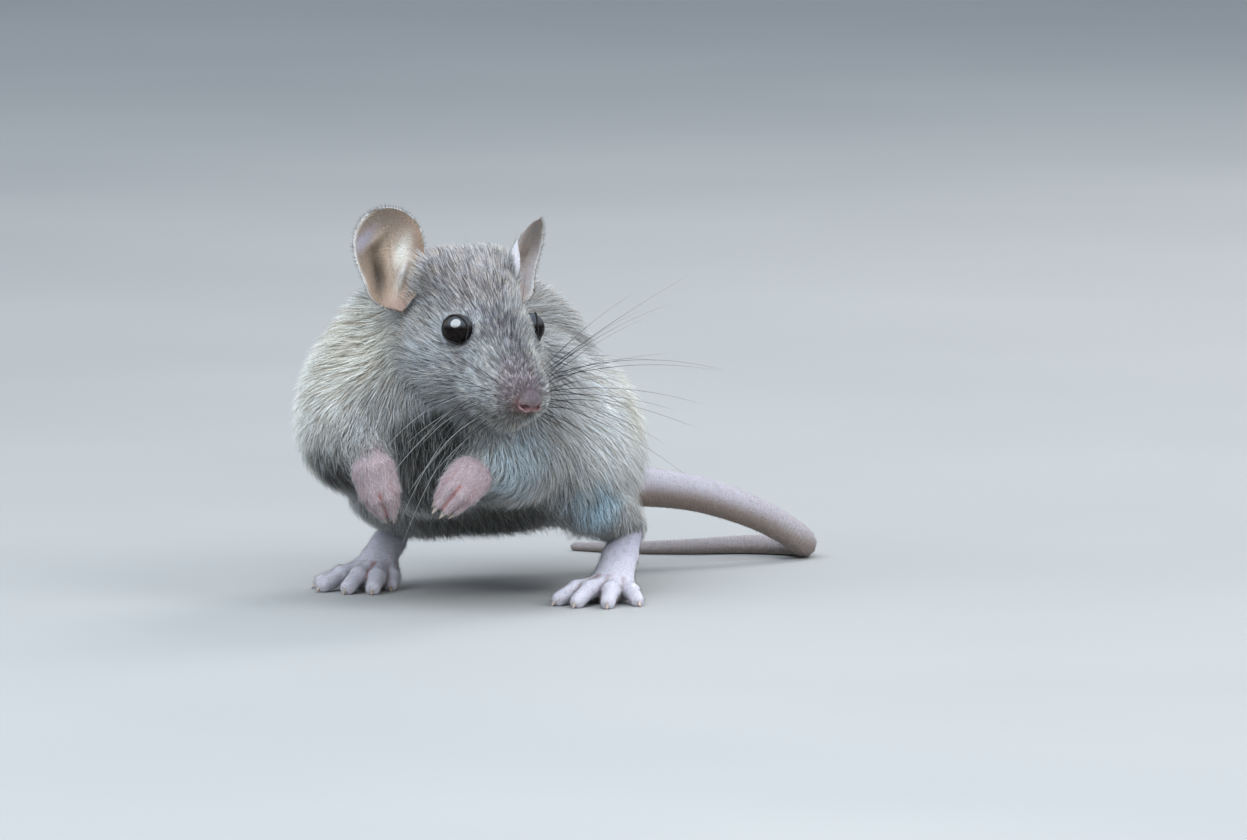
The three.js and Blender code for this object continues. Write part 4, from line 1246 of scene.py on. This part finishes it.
PATCH = 0.003  # how wide each tuft's patch is in the OFBake map
MOST = 195000  # triangles in one piece
LOWEST = 0.02  # how near the ground hair may come
SOFT_OUT, SOFT_ROUND = 0.8, 0.3  # how far hair is lit as the skin beneath it is, and as its own sides are
COUNT, WIDER = ((1.0, 1.0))


def tufts(name, spine, width, normal, tone, uv, material, thick=0.6):
    """Pieces of joined spikes along `spine` (tufts, stops, 3) and `width` (tufts, stops) across.

    A straight spike stands on a base of three corners, and a bent one starts from a point.
    """
    stops = spine.shape[1]
    first = 0 if stops == 2 else 1
    rings = stops - 1 - first
    each = first + rings * 3 + 1
    faces = [(0, (c + 1) % 3 + 1, c + 1) for c in range(3)] if first else [(0, 2, 1)]
    for r in range(rings - 1):
        for c in range(3):
            a, b = first + r * 3 + c, first + r * 3 + (c + 1) % 3
            faces += [(a, b, b + 3), (a, b + 3, a + 3)]
    last = first + (rings - 1) * 3
    faces += [(last + c, last + (c + 1) % 3, each - 1) for c in range(3)]
    faces = np.array(faces)
    corner = np.radians([90, 330, 210])
    ring_far = np.arange(first, stops - 1) / (stops - 1)
    far = np.concatenate([[0.0] * first, np.repeat(ring_far, 3), [1.0]])
    across = np.concatenate([[0.0] * first, np.tile([0.0, 0.5, -0.5], rings), [0.0]])
    pieces = math.ceil(len(spine) * len(faces) / MOST)
    for n, part in enumerate(np.array_split(np.arange(len(spine)), pieces)):
        line, n_out, count = spine[part], normal[part], len(part)
        along = unit(line[:, 1:] - line[:, :-1])[:, first:]
        side = unit(np.cross(along, n_out[:, None]))
        rise = np.cross(side, along)
        out = side[:, :, None] * np.cos(corner)[:, None]
        out = out + thick * rise[:, :, None] * np.sin(corner)[:, None]
        reach = (width[part][:, first : stops - 1] / 2)[..., None, None]
        ring = line[:, first : stops - 1, None] + out * reach
        ends = [line[:, :first], ring.reshape(count, rings * 3, 3), line[:, -1:]]
        p = np.concatenate(ends, 1)
        p[:, :, 2] = np.maximum(p[:, :, 2], LOWEST)
        every = (faces[None] + (np.arange(count) * each)[:, None, None]).reshape(-1)
        title = name if pieces == 1 else f"{name}_{n + 1}"
        mesh = bpy.data.meshes.new(title)
        mesh.vertices.add(count * each)
        mesh.loops.add(len(every))
        mesh.polygons.add(len(every) // 3)
        mesh.loops.foreach_set("vertex_index", every.astype(np.int32))
        mesh.polygons.foreach_set("loop_start", np.arange(0, len(every), 3, dtype=np.int32))
        set_points(mesh, p.reshape(-1, 3))
        mesh.update(calc_edges=True)
        mark(mesh, "far", np.tile(far, count))
        mark(mesh, "tone", np.repeat(tone[part], each))
        patch = uv[part][:, None] + np.stack([across, far - 0.5], 1) * PATCH
        layer = mesh.uv_layers.new(name="OFBake")
        layer.uv.foreach_set("vector", patch.reshape(-1, 2)[every].astype(np.float32).ravel())
        set_down(title, mesh, material, "coat")
        puff = np.concatenate([rise[:, :first], out.reshape(count, rings * 3, 3), rise[:, -1:]], 1)
        soft = unit(SOFT_OUT * n_out[:, None] + SOFT_ROUND * puff)
        mesh.normals_split_custom_set_from_vertices(soft.reshape(-1, 3))


BROWN, SILVER = (0.84, 0.68, 0.54), (0.70, 0.73, 0.76)


def hair():
    """The colour and roughness along a hair: dark at its root, often pale at its tip."""
    inputs = {"Color": "Color", "Tip": "Color", "Root": "Float", "Dark": "Float", "Fleck": "Float"}
    tree, out = group_of("hair", inputs, {"Color": "Color", "Roughness": "Float"})
    given = tree.nodes.new("NodeGroupInput").outputs
    far, tone = numbers(tree, "far"), numbers(tree, "tone")
    shade = fade(tree, far, 0.0, 0.7, given["Root"], 1.0)
    light = sums(tree, "SUBTRACT", 1.85, given["Dark"])
    shade = times(tree, shade, fade(tree, tone, 0.0, 1.0, given["Dark"], light))
    colour = mixed(tree, fade(tree, tone, 0.15, 0.55, 1.0, 0.0), given["Color"], BROWN, "MULTIPLY")
    colour = vectors(tree, "SCALE", {0: colour, "Scale": shade})
    pale = times(tree, fade(tree, far, 0.35, 0.85), fade(tree, tone, 0.5, 0.8, 0.0, given["Fleck"]))
    end = mottled(tree, 420, 0.4, 0.6, given["Tip"], SILVER)
    feed(tree, out, {0: mixed(tree, pale, colour, end), 1: fade(tree, tone, 0.0, 1.0, 0.75, 0.55)})
    return tree


hair_colours = hair()


def fur_look(name, root, dark, tip, fleck, plain=None):
    """Hair over the markings of the coat, with their painted shade and light, or of one plain colour."""
    material, tree, shader = new_material(name)
    if plain:
        colour = mottled(tree, 300, 0.3, 0.7, plain, tuple(0.8 * c for c in plain))
    else:
        colour = node(tree, "Group", {}, node_tree=coat_markings_and_painted_light).outputs[0]
    strand = node(tree, "Group", {}, node_tree=hair_colours)
    feed(tree, strand, {"Color": colour, "Tip": tip, "Root": root, "Dark": dark, "Fleck": fleck})
    feed(tree, shader, {"Base Color": strand.outputs["Color"], "Roughness": strand.outputs["Roughness"]})
    shader.inputs["Specular IOR Level"].default_value = 0.3
    shader.inputs["Sheen Weight"].default_value = 0.12
    shader.inputs["Sheen Roughness"].default_value = 0.5
    return material


coat_look = fur_look("coat", root=0.5, dark=0.5, tip=(0.82, 0.77, 0.68), fleck=0.55)
face_look = fur_look("face_coat", root=0.35, dark=0.08, tip=(0.84, 0.76, 0.64), fleck=1.0)
BODY_DENSITY, HEAD_DENSITY, WRIST_DENSITY = 17.5, 37.0, 22.0  # tufts to a square millimetre
BARE_ROUND_EYE, BARE_ROUND_NOSE, WRIST_REACH = 0.25, 0.1, (4.0, 8.0)


def bare_face(p):
    """Where the face has no fur: on the nose and in the eye's opening."""
    q = in_head(p)
    e = from_eye(q)
    off = np.hypot(e @ EYE_ACROSS, e @ EYE_RISE)
    eye = (off < LID_RADIUS + BARE_ROUND_EYE) & (e @ EYE_LOOK > -0.5) & (length_of(e) < 6)
    return eye | (ball(folded(q), NOSE_PLACE, NOSE_RADII) < BARE_ROUND_NOSE)


def limbness(p):
    """1 on the wrists, 0 elsewhere."""
    near = [length_of(p - leg["forearm"][2]) for leg in FORELEGS.values()]
    return 1 - step(np.minimum.reduce(near), *WRIST_REACH)


def coat_density(p):
    head = headness(p)
    body = BODY_DENSITY + (WRIST_DENSITY - BODY_DENSITY) * limbness(p)
    return (body + (HEAD_DENSITY - body) * head) * COUNT


roots, _, root_uv = scattered(flesh, coat_density)
kept = ~bare_face(roots)
for foot in FEET.values():
    kept &= foot_form(foot)(roots) > -0.5
roots, root_uv = roots[kept], root_uv[kept]
normals = unit(slope(skin_form, roots, 0.15))
depth = np.maximum(-outline(roots), 0.25)
head = headness(roots)
way = lie(roots, normals)
limb = limbness(roots)
# Long soft hairs flare out at the edge of the left haunch and on the rump. `loose` is how far each hair
# may stand out of the outline of the coat.
HAUNCH_EDGE, HAUNCH_REACH, RUMP, RUMP_REACH = np.array([31, 14, 26.0]), [7, 9, 11], [20, 46, 20], 9
WISP_SHARE, WISP_LOOSE, WISP_LONGER, WISP_LIFT = 0.3, 1.9, 0.4, 26
flare = np.exp(-((length_of((roots - HAUNCH_EDGE) / HAUNCH_REACH)) ** 2))
rump = np.exp(-((length_of((roots - RUMP) / RUMP_REACH)) ** 2))
wisp = draw.random(len(roots)) < WISP_SHARE
loose = 0.15 + 0.3 * np.abs(draw.normal(size=len(roots)))
loose = np.clip(loose + WISP_LOOSE * wisp * (flare + rump) + 0.3 * limb, 0, 4)
loose *= 1 - 0.6 * head


ROOT_DEPTH, SKIN_CLEAR = 0.25, 0.1


def grown(index, length, lift, droop, stray):
    """Spines of bent hairs from some of the roots, held within the outline of the coat.

    They leave the skin at the angle `lift`, which bending brings down to `lift` times `droop`.
    """
    r, n, w = roots[index], normals[index], way[index]
    w = along_skin(unit(w + stray * draw.normal(size=w.shape)), n)
    lift = lift[:, None]
    first = unit(w * np.cos(lift) + n * np.sin(lift))
    second = unit(w * np.cos(lift * droop) + n * np.sin(lift * droop))
    middle = r + first * length[:, None] * 0.5
    tip = middle + second * length[:, None] * 0.5
    ideal = tip
    tip, lead = gathered(r, tip)
    middle = middle + 0.45 * (tip - ideal)
    for spot, share in ((middle, 0.5), (tip, 1.0)):
        high = np.clip(outline(spot) - share * loose[index], 0, 6)
        spot -= high[:, None] * unit(slope(outline, spot, 0.2))
        low = np.clip(0.12 * share + SKIN_CLEAR - skin_form(spot), 0, 3)
        spot += low[:, None] * unit(slope(skin_form, spot, 0.2))
    return np.stack([r - n * ROOT_DEPTH, middle, tip], 1), lead


FUR_WIDTH, FACE_FUR_WIDTH = 0.08, 0.088
tone_of = varied(0.48, 0.27 + 0.09 * head, len(roots), 0, 1)
body, face = np.nonzero(head < 0.5)[0], np.nonzero(head >= 0.5)[0]
on_body = np.clip(2.1 * depth + 0.6 * limb, 2.2, 6.5)
long = on_body * (1 - head) + np.clip(2.3 * depth, 0.9, 3.2) * head
long = long * (1 + WISP_LONGER * wisp * (flare + 0.5 * rump)) * varied(1, 0.17, len(roots), 0.5, 1.5)

raised = (WISP_LIFT * wisp * (flare + 0.6 * rump))[body]
steep = np.radians(np.clip(draw.normal(22, 7, len(body)) + raised, 6, 55))
spine, lead = grown(body, long[body], steep, droop=0.6, stray=0.2)
tone = 0.85 * tone_of[body] + 0.15 * tone_of[body][lead]
order = np.argsort(roots[body] @ [0.42, 0.78, -0.46])  # from the front to the back of the body
wide = FUR_WIDTH * WIDER * varied(1, 0.25, (len(body), 1), 0.5, 1.6) * np.ones((1, 3))
index = body[order]
tufts("fur", spine[order], wide[order], normals[index], tone[order], root_uv[index], coat_look)

steep = np.radians(varied(25, 7, len(face), 6, 50))
spine, lead = grown(face, long[face], steep, droop=0.7, stray=0.16)
tone = 0.55 * tone_of[face] + 0.45 * tone_of[face][lead]
order = np.argsort(in_head(roots[face])[:, 0])
wide = FACE_FUR_WIDTH * WIDER * varied(1, 0.25, (len(face), 1), 0.5, 1.6) * np.ones((1, 2))
index = face[order]
straight = spine[order][:, [0, 2]]
tufts("face_fur", straight, wide[order], normals[index], tone[order], root_uv[index], face_look)

# Longer hairs that stand up from the crown in front of the right ear, along a line on the head.
FRINGE, FRINGE_COUNT = ((-6.2, -9, 57.0), (-7.2, -9, 54.5), (-8.6, -9, 52.0), (-10.8, -9, 49.9)), 330
FRINGE_WAY, FRINGE_BEND = [-0.55, -0.5, 0.62], [-0.25, 0.1, 0.15]
FRINGE_SPREAD, FRINGE_WIDTH = 0.45, 0.085
fringe = curve_through(FRINGE, FRINGE_COUNT) + draw.normal(0, FRINGE_SPREAD, (FRINGE_COUNT, 3))
fringe = settle(fringe, skin_form, 6)
out = unit(slope(skin_form, fringe))
along = unit(np.array(FRINGE_WAY) + 0.2 * draw.normal(size=fringe.shape))
long = varied(3.0, 0.8, (FRINGE_COUNT, 1), 1.5, 4.8)
middle = fringe + along * long * 0.5
spine = np.stack([fringe - out * 0.2, middle, middle + unit(along + FRINGE_BEND) * long * 0.5], 1)
wide = np.full((FRINGE_COUNT, 3), FRINGE_WIDTH * WIDER)
tone = varied(0.62, 0.25, FRINGE_COUNT, 0, 1)
tufts("ear_fringe", spine, wide, out, tone, root_uv[nearest(fringe, roots)], face_look)

# ------------------------------------------------------------------ down on the ears, nose, paws and tail
# Hairs about a millimetre long, whitish on the feet and the rims of the ears, thin enough for the skin to
# show between them.

DOWN = {  # hairs to a square millimetre, their length, how many degrees they stand up, and their width
    "ear_down": (14.0, 0.72, 11, 0.06),
    "paw_down": (12.0, 1.15, 15, 0.06),
    "nose_down": (45.0, 0.7, 16, 0.055),
    "tail_down": (4.0, 0.95, 12, 0.05),
}
DOWN_ROOT, BURIED, SOLE_CLEAR, TAIL_CLEAR = 0.08, -0.1, 0.6, 0.3
down_looks = {
    "ear_down": fur_look("ear_down", 0.7, 0.1, (0.66, 0.61, 0.53), 0.6, plain=(0.26, 0.225, 0.19)),
    "paw_down": fur_look("paw_down", 0.8, 0.3, (0.86, 0.83, 0.83), 0.9, plain=(0.54, 0.49, 0.50)),
    "nose_down": fur_look("nose_down", 0.6, 0.15, (0.50, 0.43, 0.44), 0.6, plain=(0.15, 0.12, 0.135)),
    "tail_down": fur_look("tail_down", 0.8, 0.4, (0.55, 0.50, 0.50), 0.7, plain=(0.36, 0.31, 0.31)),
}


def down(name, part, kind, direction, keep=None):
    """Short straight hairs over one of the bare parts, pointing along `direction(places)`."""
    density, length, lift, width = DOWN[kind]
    mesh = bare_parts[part]
    r, n, uv = scattered(unwrapped(mesh), lambda p: np.full(len(p), density * COUNT))
    kept = (trunk_form(r, 1) >= BURIED) & (head_form(in_head(r), 1) >= BURIED)
    kept = kept if keep is None else kept & keep(r)
    r, n, uv = r[kept], n[kept], uv[kept]
    w = along_skin(direction(r) + 0.22 * draw.normal(size=r.shape), n)
    angle = np.radians(varied(lift, 7, len(r), 5, 60))[:, None]
    long = length * varied(1, 0.22, (len(r), 1), 0.4, 1.6)
    tip = r + (w * np.cos(angle) + n * np.sin(angle)) * long
    spine = np.stack([r - n * DOWN_ROOT, tip], 1)
    tone = varied(0.55, 0.2, len(r), 0, 1)
    tufts(name, spine, np.full((len(r), 2), width * WIDER), n, tone, uv, down_looks[kind])


for name, _ in SIDES:
    spot = EARS[name]
    middle_of_ear = np.array(spot["root"]) + 0.45 * EAR_LENGTH * unit(np.array(spot["tip"], float))
    down("ear_down_" + name, "ear_" + name, "ear_down", lambda p: p - middle_of_ear)
for part, foot in FEET.items():
    ahead = foot["turn"][0] - 0.25 * foot["turn"][2]
    clear = (lambda p: p[:, 2] > SOLE_CLEAR) if foot["floor"] == GROUND else None
    down("down_" + part, part, "paw_down", lambda p: np.tile(ahead, (len(p), 1)), clear)
under_nose = from_head((16.5, 0, -9))


def nose_top(p):
    """The upper part of the pad, down to an uneven line."""
    q = in_head(p)
    return q[:, 2] > -4.5 + 0.4 * np.sin(5 * q[:, 1])


down("nose_down", "nose", "nose_down", lambda p: p - under_nose, nose_top)
run_of_tail = unit(np.gradient(tail_line, axis=0))
down(
    "tail_down", "tail", "tail_down", lambda p: run_of_tail[nearest(p, tail_line)],
    lambda p: p[:, 2] > TAIL_CLEAR,
)

# ------------------------------------------------------------------ whiskers
# Long tapering hairs that spring from four rows on each side of the muzzle, with a few on the brows and
# short pale ones under the chin. Each is a closed three-sided length, rooted in the skin.

WHISKER_ROWS, WHISKERS_IN_ROW, WHISKER_STOPS = 4, 6, 11
CHIN_HAIRS, WHISKER_WIDTH, BROW_WIDTH, CHIN_WIDTH = 12, 0.15, 0.07, 0.085
BROW_HAIRS = (((0.5, 5.2, 5.0), (0.05, 0.1, 1)), ((-1.5, 4.6, 6.2), (-0.1, 0.2, 1)))
whisker_look, tree, shader = new_material("whiskers")
far, tone = numbers(tree, "far"), numbers(tree, "tone")
end = mixed(tree, tone, (0.07, 0.055, 0.045), (0.85, 0.85, 0.85))
colour = mixed(tree, fade(tree, far, 0.25, 0.62), (0.025, 0.024, 0.032), end)
feed(tree, shader, {"Base Color": colour, "Roughness": fade(tree, far, 0.0, 1.0, 0.35, 0.5)})


def sprung(start, way, sag, length, width):
    """A bent whisker from `start` along `way`, curving by `sag` as the body stands, and its widths."""
    t = np.linspace(0, 1, WHISKER_STOPS)[:, None]
    line = start + unit(np.array(way, float)) * length * t + np.array(sag) * length * t**2
    return line, width * (1 - 0.8 * t[:, 0])


hairs = []  # each a line, its widths and its shade
for side in (1, -1):
    for row in range(WHISKER_ROWS):
        for k in range(WHISKERS_IN_ROW):
            reach = k / (WHISKERS_IN_ROW - 1)
            low = -3.4 - 1.5 * row - 0.4 * reach
            start = from_head((11.5 - 4.6 * reach, side * (3.4 + 1.6 * reach), low))
            a, b, c = draw.normal(size=3)
            if side > 0:  # these stand out beyond the muzzle
                way = (0.95, 0.25 - 0.1 * reach, 0.80 - 0.38 * row + 0.12 * a)
                sag = (0.0, 0.0, -0.16 - 0.06 * row + 0.06 * b)
                length = (15 + 19 * reach) * (1 - 0.1 * row) * (1 + 0.14 * c)
            else:  # these curve back over the cheek
                way = (-0.85, -0.5, 0.75 - 0.42 * row + 0.14 * a)
                sag = (0.05, 0.25, -0.28 - 0.05 * row + 0.08 * b)
                length = (8 + 2.2 * row + 4 * reach) * (1 + 0.15 * c)
            shade = 0.25 if side > 0 else 0.3 * row
            hairs.append((*sprung(start, way, sag, length, WHISKER_WIDTH), shade))
    for brow, way in BROW_HAIRS:
        start = from_head(mirrored(brow, side))
        hairs.append((*sprung(start, way, (0.12 * side, 0.2, 0), 11, BROW_WIDTH), 0.1))
    for k in range(CHIN_HAIRS):
        out = side * (0.5 + 0.32 * k + 0.3 * draw.random())
        start = from_head((11.0 - 0.7 * k, out, -11.2 + 0.12 * k))
        way = (-0.15 - 0.04 * k + 0.2 * side, -0.35, -1)
        hairs.append((*sprung(start, way, (-0.1, 0.15, 0), 2.6 + 0.35 * k, CHIN_WIDTH), 0.9))
line, width, shades = (np.array(values) for values in zip(*hairs))
start = line[:, 0].copy()
line += (settle(start, skin_form, 6) - start)[:, None]
out = unit(slope(skin_form, line[:, 0]))
line[:, 0] -= 0.3 * out
uv = root_uv[nearest(line[:, 0], roots)]
tufts("whiskers", line, width, out, shades, uv, whisker_look, thick=1.0)

# ------------------------------------------------------------------ floor, light and camera
# A plain pale floor and backdrop, a large soft light from the upper left, and a long lens.

FLOOR_SIZE = 6.0
floor_look, tree, shader = new_material("floor")
feed(tree, shader, {"Base Color": mottled(tree, 6, 0.3, 0.7, (0.36, 0.36, 0.355), (0.385, 0.385, 0.375))})
shader.inputs["Roughness"].default_value = 0.8
bm = bmesh.new()
bmesh.ops.create_grid(bm, x_segments=1, y_segments=1, size=FLOOR_SIZE)
floor = object_of("floor", bm)
floor.data.materials.append(floor_look)
floor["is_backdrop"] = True


def area_light(name, place, aim, size, power, colour):
    light = bpy.data.lights.new(name, "AREA")
    light.shape, light.size, light.energy, light.color = "DISK", size, power, colour
    lamp = object_of(name, light)
    lamp.location = place
    lamp.rotation_mode = "QUATERNION"
    lamp.rotation_quaternion = (Vector(aim) - Vector(place)).to_track_quat("-Z", "Y")
    return lamp


middle = (0, 0, 0.035)
area_light("key", (-0.28, -0.48, 0.70), middle, 1.15, 10.8, (0.88, 0.95, 1.0))
area_light("fill", (0.65, -0.5, 0.5), middle, 0.6, 5.4, (0.95, 0.98, 1.0)).visible_glossy = False
area_light("rim", (0.45, 0.6, 0.6), middle, 0.4, 5.0, (1.0, 0.99, 0.97)).visible_glossy = False
world = bpy.data.worlds.new("studio")
world.use_nodes = True
tree = world.node_tree
height = height_in(tree, node(tree, "TexCoord", {}).outputs["Generated"])
sky = mixed(tree, fade(tree, height, 0.05, 0.75), (0.34, 0.35, 0.37), (0.70, 0.85, 1.05))
feed(tree, tree.nodes["Background"], {"Color": sky, "Strength": 0.7})
bpy.context.scene.world = world

AIM = (np.array([24.8, 0, 30.0]) + OFFSET) * MM
RANGE, RISE, FIELD, SENSOR = 2.5, math.radians(6), 0.2011, 36
back = Vector((0, -math.cos(RISE), math.sin(RISE)))
camera = object_of("camera", bpy.data.cameras.new("camera"))
camera.data.sensor_width = SENSOR
camera.data.lens = SENSOR * RANGE / FIELD
camera.data.clip_start, camera.data.clip_end = 0.1, 20
camera.location = Vector(AIM) + back * RANGE
camera.rotation_mode = "QUATERNION"
camera.rotation_quaternion = (-back).to_track_quat("-Z", "Y")
bpy.context.scene.camera = camera
bpy.context.scene.view_settings.view_transform = "Standard"

low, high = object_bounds()
